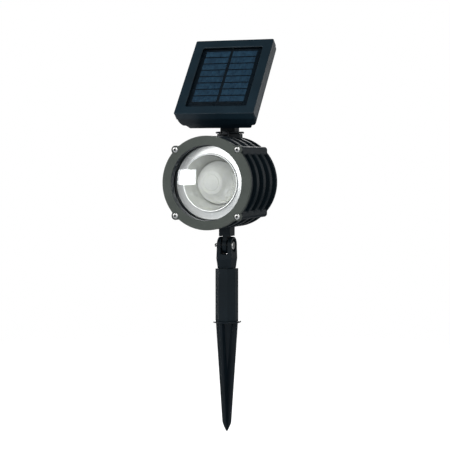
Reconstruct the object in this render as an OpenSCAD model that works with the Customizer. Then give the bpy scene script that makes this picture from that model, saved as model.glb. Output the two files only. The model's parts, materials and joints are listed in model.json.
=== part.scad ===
// Solar garden spotlight on a ground spike.
// +Z is up, the lamp shines towards -Y, and the origin is on the stake's axis
// at the underside of the ground flange (the soil line).

/* [Ground spike] */
// Length of the spike below the ground flange
spike_len = 114; // [90:1:140]
// Half width of the crossed ribs at the top
spike_half = 12.8; // [11:0.1:13.6]
// Half width of the crossed ribs where the point starts
spike_end_half = 4.9; // [4:0.1:6]
// Thickness of each rib
spike_rib = 3.2; // [2.4:0.1:4]
// Turn of the crossed ribs about the stake's axis
spike_turn = -11; // [-45:1:45]
// Radius of the ground flange
flange_r = 14.7; // [13.5:0.1:18]
// Thickness of the ground flange
flange_t = 1.6; // [1.4:0.1:3]

/* [Post] */
// Octagonal post, across its flats
post_af = 22; // [21:0.5:24]
// Height of the post's open top above the soil line
post_top = 56.3; // [52:0.1:58]
// Radius of the post's bore
post_bore_r = 9; // [8.6:0.1:9.2]

/* [Knuckle] */
// Height of the knuckle's pivot above the soil line
pivot_z = 80.1; // [79:0.1:82]
// Radius of the fork's ears and their half depth
ear_r = 9; // [8.4:0.1:9.4]
// Half width of the fork over its ears
fork_half = 8; // [7.8:0.1:8.4]
// Half of the gap between the ears
fork_gap = 3.75; // [3.6:0.05:3.8]
// Radius of the pivot bolt
bolt_r = 2; // [1.8:0.05:2.2]
// Half thickness of the head's tongue
tongue_half = 2.25; // [2.1:0.05:2.3]

/* [Lamp head] */
// Height of the lamp's optical axis above the soil line
lamp_z = 145.5; // [145:0.1:147]
// Outer radius of the bezel, fins and back disc
head_r = 47; // [46.4:0.1:47.4]
// Radius of the barrel at the bottom of the grooves
barrel_r = 40; // [39.4:0.1:41]
// Front face of the bezel
bezel_y = -59; // [-60:0.5:-58]
// Width of each cooling fin
fin_t = 7; // [5:0.5:8]
// Spacing of the cooling fins
fin_pitch = 20; // [19.5:0.5:20]
// Radius of the bezel's opening
mouth_r = 37.6; // [36.8:0.1:37.8]
// Half spacing of the four bezel screws
screw_xz = 33; // [32.6:0.1:33.4]

/* [Panel bracket] */
// Distance of the swivel axis behind the stake's axis
swivel_y = 8.5; // [7:0.5:9]
// Radius of the swivel disc
swivel_r = 14.8; // [14.4:0.1:16]
// Underside of the swivel disc above the soil line
swivel_z = 195.5; // [195.4:0.1:196.2]
// Height of the panel's tilt axis above the soil line
tilt_z = 217.8; // [217.4:0.1:218.4]

/* [Solar panel] */
// Width of the panel
panel_w = 86; // [85:0.5:87]
// Length of the panel
panel_l = 101; // [100:0.5:102]
// Lean of the panel back from upright
panel_lean = 39; // [38:0.5:40]
// Width of the window opening
window_w = 66; // [64:0.5:67]
// Length of the window opening
window_l = 80.6; // [79:0.2:81]
// Rows of solar cells
cell_rows = 8; // [6:1:8]
// Depth of the whole panel casing
casing_d = 25; // [24.8:0.1:25.2]

/* [Hidden] */
$fn = 64;

plastic = [0.10, 0.13, 0.15];
bezel_grey = [0.32, 0.34, 0.32];
steel = [0.78, 0.79, 0.80];
eps = 0.01;

// planes along the lamp's axis
fl_y0 = bezel_y + 4;        // bezel's back, flange's front
fl_y1 = fl_y0 + 4;          // flange's back
lens_y = bezel_y + 8;       // lens front
seat_y = lens_y + 3.6;      // gasket seat
back_y = 20.5;              // inside of the back disc
back_y1 = 24.3;             // outside of the back disc
spread_y = -10.3;           // front of the heat spreader
spread_t = 2.4;
inner_r = 37.2;
shoulder_r = 42.4;
boss_r = 4.2;
web_xz = 36.3;              // outer faces of the screw posts behind the flange
post_xz = 23;
lock_x = 1.8;

// planes of the panel, measured from its face
lip_t = 1.2;                // bezel face over the window's edge
pane_t = 1.6;
cell_t = 0.3;
cell_x = -0.6;               // centre of the cells in the window
cell_v = 2.3;
pcb_t = 1.6;
rim_d = 9;                  // seam between bezel and rear shell
taper_d = 12;               // where the shell starts to taper
wall = 2.2;
back_in = casing_d - 3;     // inside of the shell's back wall
face_c = [0, -7.92, 254.17];
cell_r = 7.25;
cell_len = 50.5;
cell_rows_v = [1.5, 16.5, 31.5];
button_uv = [22, -36];
lug_v = -17.9;
lug_d = 35.7;               // tilt axis behind the panel's face

// ---- helpers ----
// cylinder along +Y from y0 to y1, centred at x, z
module ycyl(y0, y1, r, x = 0, z = lamp_z) {
  translate([x, y0, z]) rotate([-90, 0, 0]) cylinder(h = y1 - y0, r = r);
}
// cylinder along +X from x0 to x1
module xcyl(x0, x1, r, y = 0, z = pivot_z) {
  translate([x0, y, z]) rotate([0, 90, 0]) cylinder(h = x1 - x0, r = r);
}
// hexagonal prism along +X, af across its flats
module xhex(x0, x1, af, y, z) {
  translate([x0, y, z]) rotate([0, 90, 0]) rotate(30)
    cylinder(h = x1 - x0, r = af / 2 / cos(30), $fn = 6);
}
// solid of revolution about the lamp's axis from points [radius, y]
module yturn(pts) {
  translate([0, 0, lamp_z]) rotate([-90, 0, 0])
    rotate_extrude($fn = 96) polygon(pts);
}
// outline in the Y-Z plane extruded along X
module yz_slab(x0, x1) {
  translate([x0, 0, 0]) rotate([90, 0, 90]) linear_extrude(x1 - x0) children();
}
// outline in the X-Z plane extruded along Y
module xz_slab(y0, y1) {
  translate([0, y1, 0]) rotate([90, 0, 0]) linear_extrude(y1 - y0) children();
}
module rrect(w, l, r) {
  square([w - 2 * r, l], center = true);
  square([w, l - 2 * r], center = true);
  for (x = [-1, 1], y = [-1, 1])
    translate([x * (w / 2 - r), y * (l / 2 - r)]) circle(r = r, $fn = 48);
}
// the panel's own frame: x across, y up the slope, z out of the face
module on_panel() {
  translate(face_c) rotate([90 - panel_lean, 0, 0]) children();
}
// slab in the panel's frame between two depths
module pslab(d0, d1) {
  translate([0, 0, -d1]) linear_extrude(d1 - d0) children();
}
module pcyl(d0, d1, r, x = 0, y = 0) {
  translate([x, y, -d1]) cylinder(h = d1 - d0, r = r);
}
function unit(v) = v / norm(v);
// smooth curve through control points, n steps per span
function spline(p, n) = [
  for (i = [0 : len(p) - 2], k = [0 : n - 1])
    let (t = k / n,
         a = p[max(i - 1, 0)], b = p[i], c = p[i + 1], d = p[min(i + 2, len(p) - 1)])
    0.5 * (2 * b + (c - a) * t + (2 * a - 5 * b + 4 * c - d) * t * t
           + (3 * b - a - 3 * c + d) * t * t * t),
  p[len(p) - 1]
];
// round tube swept along points
module sweep(pts, r, sides, ref) {
  n = len(pts);
  rings = [
    for (i = [0 : n - 1])
      let (t = unit(pts[min(i + 1, n - 1)] - pts[max(i - 1, 0)]),
           u = unit(cross(t, ref)), v = cross(t, u))
      for (k = [0 : sides - 1])
        pts[i] + r * (cos(360 * k / sides) * u + sin(360 * k / sides) * v)
  ];
  faces = concat(
    [[for (k = [0 : sides - 1]) k]],
    [for (i = [0 : n - 2], k = [0 : sides - 1])
      [i * sides + k, (i + 1) * sides + k, (i + 1) * sides + (k + 1) % sides, i * sides + (k + 1) % sides]],
    [[for (k = [sides - 1 : -1 : 0]) (n - 1) * sides + k]]
  );
  polyhedron(points = rings, faces = faces, convexity = 6);
}
// machine screw: head and shank, pointing down -Z from z = 0
module screw(head_r, head_h, shank_r, len, slot = 1) {
  difference() {
    union() {
      cylinder(h = head_h, r = head_r);
      translate([0, 0, -len]) cylinder(h = len + eps, r = shank_r);
    }
    if (slot > 0) for (a = [0, 90]) rotate(a)
      translate([-head_r * 0.55, -0.35, head_h - slot]) cube([head_r * 1.1, 0.7, slot + 1]);
  }
}

// ---- stake ----
module ground_spike() color(plastic) {
  // crossed ribs
  rotate(spike_turn) for (a = [0, 90]) rotate(a)
    xz_slab(-spike_rib / 2, spike_rib / 2)
      polygon([[-spike_half, 0.4], [spike_half, 0.4], [spike_end_half, 9 - spike_len],
               [1.1, 0.6 - spike_len], [0.6, -spike_len], [-0.6, -spike_len],
               [-1.1, 0.6 - spike_len], [-spike_end_half, 9 - spike_len]]);
  // tapering core
  translate([0, 0, -56]) cylinder(h = 56.4, r1 = 1.4, r2 = 7.6);
  // ground flange
  cylinder(h = flange_t, r = flange_r);
  // plug in the post
  difference() {
    translate([0, 0, flange_t - eps]) cylinder(h = 24, r = post_bore_r - 0.1);
    translate([0, 0, flange_t + 2]) cylinder(h = 30, r = post_bore_r - 2.4);
  }
}

module post_tube() color(plastic) difference() {
  translate([0, 0, flange_t]) rotate(22.5)
    cylinder(h = post_top - flange_t, r = post_af / 2 / cos(22.5), $fn = 8);
  translate([0, 0, flange_t - 1]) cylinder(h = post_top, r = post_bore_r);
}

module knuckle_fork() color(plastic) difference() {
  union() {
    // body and ears, tapering to the neck
    intersection() {
      yz_slab(-10, 10) union() {
        translate([0, pivot_z]) circle(r = ear_r);
        polygon([[-ear_r, pivot_z], [-ear_r, 66], [-8.6, 63], [-7.6, post_top], [7.6, post_top],
                 [8.6, 63], [ear_r, 66], [ear_r, pivot_z]]);
      }
      xz_slab(-12, 12)
        polygon([[-7.4, post_top], [-7.8, 61], [-fork_half - 0.4, 67], [-fork_half, pivot_z - 3],
                 [-fork_half, pivot_z + 10], [fork_half, pivot_z + 10], [fork_half, pivot_z - 3],
                 [fork_half + 0.4, 67], [7.8, 61], [7.4, post_top]]);
    }
    // plug in the post, with its guide ribs
    translate([0, 0, 36.3]) cylinder(h = post_top - 36.3, r = post_bore_r - 0.9);
    for (a = [0 : 45 : 315]) rotate(a + 22.5)
      translate([0, -0.9, 36.3]) cube([post_bore_r - 0.15, 1.8, post_top - 36.3 + 1.2]);
  }
  // slot for the head's tongue
  translate([-fork_gap, -15, pivot_z - 9.1]) cube([2 * fork_gap, 30, 40]);
  // pivot bore, bolt-head recess and nut pocket
  xcyl(-20, 20, bolt_r + 0.05);
  xcyl(5.6, 20, 6.5);
  xhex(-20, -5.8, 7.3, 0, pivot_z);
}

module pivot_bolt() color(steel) difference() {
  union() {
    xcyl(-13, 5.6 + eps, bolt_r);
    xcyl(5.6, 7.8, 4.25);
  }
  xhex(6.3, 9, 3, 0, pivot_z);
}

module pivot_nut() color(steel) difference() {
  xhex(-9, -5.8, 7, 0, pivot_z);
  xcyl(-12, -4, bolt_r + 0.02);
}

module friction_washers() color(steel) {
  for (s = [-1, 1]) difference() {
    xcyl(s < 0 ? -fork_gap : tongue_half + 0.1, s < 0 ? -tongue_half - 0.1 : fork_gap, 5.5);
    xcyl(-8, 8, bolt_r + 0.05);
  }
}

// ---- lamp head ----
// screw lugs: round ends on webs that run in to the barrel
module lugs2d(r_in) {
  for (x = [-1, 1], z = [-1, 1]) {
    translate([x * screw_xz, z * screw_xz]) circle(r = boss_r, $fn = 48);
    rotate(z * x > 0 ? 45 : -45) translate([x > 0 ? r_in : -screw_xz * sqrt(2), -boss_r])
      square([screw_xz * sqrt(2) - r_in, 2 * boss_r]);
  }
}
// screw posts behind the flange: flat outer faces, sloping in to the barrel
module posts2d() {
  r = web_xz - screw_xz;
  for (x = [0, 1], z = [0, 1]) mirror([x, 0]) mirror([0, z]) {
    translate([screw_xz, screw_xz]) circle(r = r, $fn = 48);
    polygon([[screw_xz, web_xz], [28.2, web_xz], [22.5, 30.5], [22.5, 22.5], [30.5, 22.5],
             [web_xz, 28.2], [web_xz, screw_xz], [screw_xz, screw_xz]]);
  }
}
module yslab(y0, y1) {
  translate([0, y1, lamp_z]) rotate([90, 0, 0]) linear_extrude(y1 - y0) children();
}

module head_housing() color(plastic) {
  difference() {
    union() {
      // front flange with its four lugs
      ycyl(fl_y0, fl_y1, head_r);
      yslab(fl_y0, fl_y1) lugs2d(30);
      yslab(fl_y1 - eps, back_y1 - 1) posts2d();
      ycyl(fl_y1 - eps, seat_y + 2, shoulder_r);
      ycyl(fl_y1 - eps, back_y1, barrel_r);
      // cooling fins and back disc
      for (i = [0 : 2]) ycyl(-39 + i * fin_pitch, -39 + i * fin_pitch + fin_t, head_r);
      ycyl(back_y, back_y1, head_r);
      // pedestal of the panel's swivel
      translate([0, swivel_y, lamp_z + 30]) cylinder(h = swivel_z - 0.3 - lamp_z - 30, r = 13.3);
      // lug of the swivel's lock screw
      translate([lock_x - 3.4, -9.8, lamp_z + 38]) cube([6.8, 2.5, 11.8]);
      ycyl(-9.8, -7.3, 3.4, lock_x, swivel_z - 0.2);
      // foot and tongue of the tilt knuckle
      translate([-6.3, -7.5, pivot_z + 9.7]) cube([12.6, 15, 30]);
      yz_slab(-tongue_half, tongue_half) union() {
        translate([0, pivot_z]) circle(r = 8.5);
        translate([-6.5, pivot_z]) square([13, 12]);
      }
    }
    // inside of the barrel, leaving the pad under the swivel
    difference() {
      ycyl(seat_y - eps, back_y, inner_r);
      translate([0, swivel_y, lamp_z + 35.1]) cylinder(h = 10, r = 12);
    }
    // seat of the lens and its gasket
    ycyl(fl_y0 - 1, seat_y, 39.7);
    // swivel bore and lock-screw bore
    translate([0, swivel_y, lamp_z + 20]) cylinder(h = 60, r = 8.06);
    ycyl(-13, -5, 1.6, lock_x, swivel_z - 0.2);
    // tilt pivot bore
    xcyl(-10, 10, bolt_r + 0.05);
    // tapped holes of the bezel screws
    for (x = [-1, 1], z = [-1, 1])
      ycyl(fl_y0 - 1, fl_y0 + 15, 1.65, x * screw_xz, lamp_z + z * screw_xz);
  }
  // posts of the heat spreader
  for (x = [-1, 1], z = [-1, 1]) difference() {
    ycyl(spread_y + spread_t, back_y + 0.5, 3.4, x * post_xz, lamp_z + z * post_xz);
    ycyl(spread_y + spread_t - 1, 8, 1.45, x * post_xz, lamp_z + z * post_xz);
  }
}

module front_bezel() color(bezel_grey) difference() {
  union() {
    ycyl(bezel_y, fl_y0, head_r);
    yslab(bezel_y, fl_y0) lugs2d(40);
    ycyl(fl_y0 - eps, lens_y, 39.5);
  }
  ycyl(bezel_y - 1, lens_y + 1, mouth_r);
  for (x = [-1, 1], z = [-1, 1]) {
    ycyl(bezel_y - 1, fl_y0 + 1, 1.8, x * screw_xz, lamp_z + z * screw_xz);
    ycyl(bezel_y - 1, bezel_y + 1.3, 3.3, x * screw_xz, lamp_z + z * screw_xz);
  }
}

module bezel_screws() color(steel)
  for (x = [-1, 1], z = [-1, 1])
    translate([x * screw_xz, bezel_y + 1.3, lamp_z + z * screw_xz])
      rotate([90, 0, 0]) rotate(20) screw(3.1, 2, 1.6, 16, 1.2);

module front_lens() color([0.85, 0.9, 0.92, 0.4]) ycyl(lens_y, lens_y + 2.6, 39.5);

module lens_gasket() color([0.12, 0.12, 0.12]) difference() {
  ycyl(lens_y + 2.6, seat_y, 39.5);
  ycyl(lens_y, seat_y + 1, 37.4);
}

bowl_n = 8;
function bowl_r(s) = 27.9 - 5.5 * (0.6 * s + 0.4 * s * s);
bowl = [for (i = [0 : bowl_n]) [bowl_r(i / bowl_n), -47.6 + 24.6 * i / bowl_n]];
module reflector() color([0.88, 0.89, 0.9]) yturn(concat(
  [[36.9, seat_y + 1.8], [35.6, seat_y + 1.8], [28.9, -47.9], [28.3, -48.2]], bowl,
  [[22.4, -21.6], [17.2, -21.6], [17.2, spread_y], [18.6, spread_y], [18.6, -20.2], [23.8, -20.2]],
  [for (i = [bowl_n : -1 : 0]) bowl[i] + [1.5, 1.3]], [[36.9, seat_y + 3.6]]));

module led_optic() color([0.85, 0.86, 0.82]) yturn([
  [0, -45.4], [4.2, -45.2], [7.8, -44.6], [8.5, -43.9], [9.2, -44.2], [11.9, -43.4], [12.7, -42.6],
  [14.6, -40.6], [16.6, -37.6], [18.6, -34], [20.2, -30], [21.3, -26.4], [21.9, -23.5],
  [21.9, -21.8], [15.9, -21.8], [14.6, spread_y - pcb_t],
  [13.2, spread_y - pcb_t], [11, -16.6], [5.2, -16.6], [4.4, -17.6], [0, -17.8]]);

module led_board() color([0.86, 0.87, 0.85]) ycyl(spread_y - pcb_t, spread_y, 16);

module led_emitter() color([0.95, 0.85, 0.35]) {
  translate([-3.5, spread_y - pcb_t - 1.2, lamp_z - 3.5]) cube([7, 1.2, 7]);
  ycyl(spread_y - pcb_t - 2.2, spread_y - pcb_t - 1.2 + eps, 2.6);
}

module heat_spreader() color([0.74, 0.75, 0.76]) difference() {
  ycyl(spread_y, spread_y + spread_t, 36.9);
  for (x = [-1, 1], z = [-1, 1])
    ycyl(spread_y - 1, spread_y + 5, 1.7, x * post_xz, lamp_z + z * post_xz);
  ycyl(spread_y - 1, spread_y + 5, 2.2, 0, lamp_z + 11);
}

module spreader_screws() color(steel)
  for (x = [-1, 1], z = [-1, 1])
    translate([x * post_xz, spread_y, lamp_z + z * post_xz])
      rotate([90, 0, 0]) screw(2.8, 1.8, 1.4, 14, 1);

head_lead_route = [
  [0, -10.2, 156.5], [0, -7, 156.5], [0, 0, 157.5], [0, 5.5, 161], [0, 8.2, 167],
  [0, 8.5, 174], [0, 8.5, 182]
];
module head_lead() color([0.1, 0.1, 0.1])
  sweep(spline(head_lead_route, 3), 1.4, 8, [1, 0, 0]);

module swivel_lock_screw() color(steel)
  translate([lock_x, -9.8, swivel_z - 0.2]) rotate([90, 0, 0]) rotate(45) screw(2.5, 1.6, 1.5, 2.45, 1);

// ---- swivel ----
module swivel_yoke() color(plastic) difference() {
  union() {
    translate([0, swivel_y, swivel_z]) cylinder(h = 2, r = swivel_r);
    translate([0, swivel_y, lamp_z + 32.5]) cylinder(h = swivel_z - lamp_z - 32.5 + 1, r = 8);
    yz_slab(-8, 8) union() {
      translate([swivel_y, tilt_z]) circle(r = 7);
      translate([swivel_y - 7, swivel_z + 1]) square([14, tilt_z - swivel_z - 1]);
    }
  }
  // way for the lead, and the slot it leaves by
  translate([0, swivel_y, lamp_z + 30]) cylinder(h = 32, r = 3);
  translate([-3, swivel_y - 12, 207]) cube([6, 24, 30]);
  // grooves of the retainer and the ring
  for (g = [[33.5, 34.8, 6.6], [44.4, 46.6, 6]]) difference() {
    translate([0, swivel_y, lamp_z + g[0]]) cylinder(h = g[1] - g[0], r = 12);
    translate([0, swivel_y, lamp_z + g[0] - 1]) cylinder(h = 5, r = g[2]);
  }
  xcyl(-20, 20, 2.56, swivel_y, tilt_z);
}

module swivel_retainer() color(steel) difference() {
  translate([0, swivel_y, lamp_z + 33.6]) cylinder(h = 1.1, r = 11);
  translate([0, swivel_y, lamp_z + 30]) cylinder(h = 9, r = 6.7);
  translate([-2.4, swivel_y, lamp_z + 30]) cube([4.8, 20, 9]);
}

module swivel_oring() color([0.08, 0.08, 0.08])
  translate([0, swivel_y, lamp_z + 45.5]) rotate_extrude() translate([7, 0]) circle(r = 0.95, $fn = 24);

neck_lead_route = [
  [0, 8.5, 182.6], [0, 8.5, 190], [0, 8.5, 199], [0, 8.4, 205], [0, 7.4, 209.5], [0, 5.4, 212.8]
];
module neck_lead() color([0.1, 0.1, 0.1])
  sweep(spline(neck_lead_route, 3), 1.4, 8, [1, 0, 0]);

// ---- solar panel ----
boss_uv = [panel_w / 2 - 5.4, panel_l / 2 - 5.4];
module panel_bezel() color(plastic) on_panel() difference() {
  pslab(0, rim_d) rrect(panel_w, panel_l, 1.6);
  pslab(-1, rim_d) rrect(window_w, window_l, 2.2);
  difference() {
    pslab(lip_t, rim_d + 1) rrect(panel_w - 2 * wall, panel_l - 2 * wall, 3);
    for (x = [-1, 1], y = [-1, 1])
      pcyl(0, rim_d, 2.8, x * boss_uv[0], y * boss_uv[1]);
  }
  for (x = [-1, 1], y = [-1, 1])
    pcyl(2.8, rim_d + 1, 1.45, x * boss_uv[0], y * boss_uv[1]);
}

module panel_window() color([0.55, 0.65, 0.75, 0.4]) on_panel()
  pslab(lip_t, lip_t + pane_t) rrect(68.4, 83.4, 1.5);

module solar_board() color([0.05, 0.07, 0.09]) on_panel()
  pslab(lip_t + pane_t + cell_t, lip_t + pane_t + cell_t + pcb_t) rrect(68, 83, 1.2);

module solar_cells() color([0.14, 0.23, 0.31]) on_panel()
  for (x = [0, 1], i = [0 : cell_rows - 1])
    translate([(x ? 1.5 : -28) + cell_x, -34.75 + cell_v + i * 8.8, -(lip_t + pane_t + cell_t)])
      cube([26.5, 7.9, cell_t]);

module cell_ribbons() color([0.7, 0.71, 0.72]) on_panel() {
  translate([cell_x - 0.6, cell_v - 36, -(lip_t + pane_t + cell_t)]) cube([1.2, 72, 0.15]);
  for (y = [-1, 1])
    translate([cell_x - 27, cell_v + (y > 0 ? 35.6 : -37), -(lip_t + pane_t + cell_t)]) cube([54, 1.4, 0.15]);
}

module panel_gasket() color([0.1, 0.1, 0.1]) on_panel() difference() {
  pslab(rim_d, rim_d + 0.8) rrect(panel_w - 1.4, panel_l - 1.4, 2.7);
  pslab(rim_d - 1, rim_d + 2) rrect(panel_w - 3.6, panel_l - 3.6, 1.6);
}

// half of the shell's cross-section: [inset, depth], with the step of the back
shell_prof = [[0, taper_d], [0.5, 14.2], [1.6, 16.8], [3.1, 19.4], [5.9, 19.1], [9.2, casing_d]];
// body of the rear shell, inset by k from its outer surfaces
module shell_form(d0, d1, k) {
  hw = panel_w / 2 - 0.4 - k;
  hl = panel_l / 2 - 0.4 - k;
  dz = k > 0 ? 2 : 0;
  intersection() {
    pslab(d0, d1) rrect(2 * hw, 2 * hl, max(3 - k, 1));
    translate([0, 70, 0]) rotate([90, 0, 0]) linear_extrude(140)
      polygon(concat([[-hw, 1], [hw, 1]], [for (p = shell_prof) [hw - p[0], dz - p[1]]],
                     [for (i = [len(shell_prof) - 1 : -1 : 0]) [shell_prof[i][0] - hw, dz - shell_prof[i][1]]]));
    translate([-70, 0, 0]) rotate([90, 0, 90]) linear_extrude(140)
      polygon([[-hl, 1], [hl, 1], [hl, -17], [hl - 1.2, -casing_d], [1.2 - hl, -casing_d], [-hl, -17]]);
  }
}

door_c = [0, 19.2];
module rear_shell() color(plastic) on_panel() {
  difference() {
    union() {
      difference() {
        shell_form(rim_d, casing_d, 0);
        shell_form(rim_d - 1, back_in, wall);
      }
      // columns of the casing screws
      intersection() {
        shell_form(rim_d, casing_d, 0);
        for (x = [-1, 1], y = [-1, 1])
          pcyl(rim_d, 22, 4.2, x * boss_uv[0], y * boss_uv[1]);
      }
      // hinge lugs
      for (x = [-12.3, 8.3]) translate([x, 0, 0]) rotate([90, 0, 90]) linear_extrude(4) union() {
        translate([lug_v, -lug_d]) circle(r = 7);
        polygon([[lug_v - 9.5, -casing_d + 0.6], [lug_v + 9.5, -casing_d + 0.6],
                 [lug_v + 6.9, -lug_d - 1], [lug_v - 6.9, -lug_d - 1]]);
      }
      // guide collar of the button
      difference() {
        pcyl(18.9, back_in + eps, 8.6, button_uv[0], button_uv[1]);
        pcyl(18, back_in + 1, 7, button_uv[0], button_uv[1]);
      }
      // bosses of the battery door and posts of the board
      for (x = [-26, 26]) pcyl(14, back_in + eps, 2.6, x, 42.8);
      for (x = [-27, 0], y = [-43]) pcyl(9.8, back_in + eps, 2.4, x, y);
    }
    // casing screws
    for (x = [-1, 1], y = [-1, 1]) {
      pcyl(8, 20, 1.6, x * boss_uv[0], y * boss_uv[1]);
      pcyl(14, 30, 3.1, x * boss_uv[0], y * boss_uv[1]);
    }
    // seat of the gasket
    difference() {
      pslab(rim_d - 1, rim_d + 0.8) rrect(panel_w - 1.4, panel_l - 1.4, 2.7);
      pslab(rim_d - 2, rim_d + 2) rrect(panel_w - 3.6, panel_l - 3.6, 1.6);
    }
    // battery door: its recess, its opening and its screws
    translate([door_c[0], door_c[1], 0]) pslab(casing_d - 1.8, 30) rrect(62.4, 53.2, 2.2);
    translate([0, 16.5, 0]) pslab(15, 30) rrect(56, 44.6, 1.5);
    for (x = [-26, 26]) pcyl(15, 30, 1.2, x, 42.8);
    // button, lead and tilt bolt
    pcyl(15, 30, 5.3, button_uv[0], button_uv[1]);
    pcyl(20, 30, 3.2, 0, lug_v);
    translate([-20, lug_v, -lug_d]) rotate([0, 90, 0]) cylinder(h = 40, r = 2.55);
  }
}

module panel_screws() color(steel) on_panel()
  for (x = [-1, 1], y = [-1, 1])
    translate([x * boss_uv[0], y * boss_uv[1], -14]) rotate([180, 0, 0]) screw(2.8, 2, 1.4, 10.4, 1);

module battery_door() color(plastic) on_panel() difference() {
  translate([door_c[0], door_c[1], 0]) pslab(casing_d - 1.8, casing_d) rrect(62, 52.8, 2);
  for (x = [-26, 26]) {
    pcyl(20, 30, 1.35, x, 42.8);
    pcyl(casing_d - 1.1, 30, 2.5, x, 42.8);
  }
  // groove of the seal
  translate([0, 16.5, 0]) difference() {
    pslab(casing_d - 2, casing_d - 0.8) rrect(59.8, 47.6, 3);
    pslab(casing_d - 3, casing_d) rrect(57.6, 45.4, 2);
  }
  // finger grooves
  for (i = [0 : 3]) translate([-12, 2 + i * 2.4, -casing_d - 1]) cube([24, 1.1, 1.5]);
}

module door_seal() color([0.1, 0.1, 0.1]) on_panel() translate([0, 16.5, 0]) difference() {
  pslab(casing_d - 1.8, casing_d - 0.8) rrect(59.6, 47.4, 3);
  pslab(casing_d - 3, casing_d) rrect(57.8, 45.6, 2.1);
}

module door_screws() color(steel) on_panel()
  for (x = [-26, 26])
    translate([x, 42.8, -(casing_d - 1.1)]) rotate([180, 0, 0]) screw(2.3, 1, 1.15, 8, 0.6);

module battery_cells() color([0.15, 0.4, 0.3]) on_panel()
  for (i = [0 : 2]) translate([0, cell_rows_v[i], -14.6]) rotate([0, 90, i == 1 ? 180 : 0]) {
    translate([0, 0, -22.5]) cylinder(h = cell_len - 1.2, r = cell_r);
    translate([0, 0, -22.5]) cylinder(h = cell_len, r = 2.7);
  }

module battery_tray() color([0.12, 0.12, 0.13]) on_panel() difference() {
  translate([-29.4, -7.2, -back_in]) cube([58.8, 47.2, back_in - 6.1]);
  translate([-28.4, -6.2, -back_in - 1]) cube([56.8, 45.2, back_in + 1 - 7.1]);
}

spring_n = 42;
function coil(r0, r1, h, turns) = [
  for (i = [0 : spring_n]) let (t = i / spring_n, a = 360 * turns * t, r = r0 + (r1 - r0) * t)
    [h * t, r * cos(a), r * sin(a)]
];
module battery_springs() color(steel) on_panel()
  for (i = [0 : 2]) translate([0, cell_rows_v[i], -14.6]) rotate([0, 0, i == 1 ? 180 : 0])
    translate([-27.65, 0, 0]) sweep(coil(4.8, 2.6, 4.7, 3.5), 0.35, 6, [1, 0, 0]);

module battery_contacts() color([0.75, 0.72, 0.6]) on_panel()
  for (i = [0 : 2]) translate([0, cell_rows_v[i], -14.6]) rotate([0, 0, i == 1 ? 180 : 0])
    for (x = [-28.4, 28]) translate([x, -5.5, -6]) cube([0.4, 11, 12]);

module charge_board() color([0.1, 0.35, 0.2]) on_panel()
  translate([-30, -46.4, -9.8]) cube([60, 20.4, 1.6]);

module board_components() color([0.2, 0.2, 0.22]) on_panel() {
  pcyl(9.8, 14.6, 4.6, -12, -36);
  pcyl(9.8, 16.2, 3.1, 3, -33);
  translate([5, -43.5, -11.4]) cube([6, 4.6, 1.6]);
  translate([-25, -34, -14]) cube([9, 6, 4.2]);
}

panel_lead_route = [
  [0, -19.9, -30.2], [0, -18.2, -29], [0, -17.9, -27.8], [0, -17.9, -26.4], [0, -17.9, -21],
  [0, -17.9, -20], [-2.5, -18.3, -17.8], [-8, -19.4, -15.5], [-14, -20.4, -13.6],
  [-18.6, -21.6, -12.4], [-20.5, -24, -12.2], [-20.5, -26, -12.2], [-20.5, -27.98, -12.2]
];
module panel_lead() color([0.1, 0.1, 0.1]) on_panel()
  sweep(spline(panel_lead_route, 3), 1.4, 8, [-0.5, 1, 0.6]);

module cable_grommet() color([0.08, 0.08, 0.08]) on_panel() translate([0, lug_v, 0])
  rotate_extrude() polygon([[1.45, -26.4], [2.6, -26.4], [4.6, -25.4], [4.6, -25], [3.2, -25],
                            [3.2, -22], [4.4, -22], [4.4, -21], [1.45, -21]]);

module switch_body() color([0.1, 0.1, 0.11]) on_panel() translate([button_uv[0], button_uv[1], 0]) {
  translate([-6, -6, -17.3]) cube([12, 12, 7.5]);
  pcyl(17.3 - eps, 18.1, 2.5);
}

module switch_boot() color([0.09, 0.09, 0.09]) on_panel() pcyl(18.1, 18.9, 8.4, button_uv[0], button_uv[1]);

module tilt_bolt() color(steel) difference() {
  union() {
    xcyl(-16.8, 12.3 + eps, 2.5, swivel_y, tilt_z);
    xcyl(12.3, 15.4, 4.5, swivel_y, tilt_z);
  }
  xhex(13.6, 17, 3, swivel_y, tilt_z);
}

module tilt_nut() color(steel) difference() {
  xhex(-16.2, -12.3, 8, swivel_y, tilt_z);
  xcyl(-18, -10, 2.52, swivel_y, tilt_z);
}

// ---- button ----
module power_button() color([0.16, 0.17, 0.18]) on_panel() translate([button_uv[0], button_uv[1], 0])
  rotate_extrude() polygon([[0, -26.8], [4.2, -26.8], [5, -26], [5, -21.8], [6.4, -21.8],
                            [6.4, -20.9], [2.2, -20.9], [2.2, -20.6], [0, -20.6]]);

ground_spike();
post_tube();
knuckle_fork();
pivot_bolt();
pivot_nut();
friction_washers();
head_housing();
front_bezel();
bezel_screws();
front_lens();
lens_gasket();
reflector();
led_optic();
led_board();
led_emitter();
heat_spreader();
spreader_screws();
head_lead();
swivel_lock_screw();
swivel_yoke();
swivel_retainer();
swivel_oring();
neck_lead();
panel_bezel();
panel_window();
solar_board();
solar_cells();
cell_ribbons();
panel_gasket();
rear_shell();
panel_screws();
battery_door();
door_seal();
door_screws();
battery_cells();
battery_tray();
battery_springs();
battery_contacts();
charge_board();
board_components();
panel_lead();
cable_grommet();
switch_body();
switch_boot();
tilt_bolt();
tilt_nut();
power_button();
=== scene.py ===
import bpy, bmesh, json, math
from mathutils import Vector, Matrix

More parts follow.
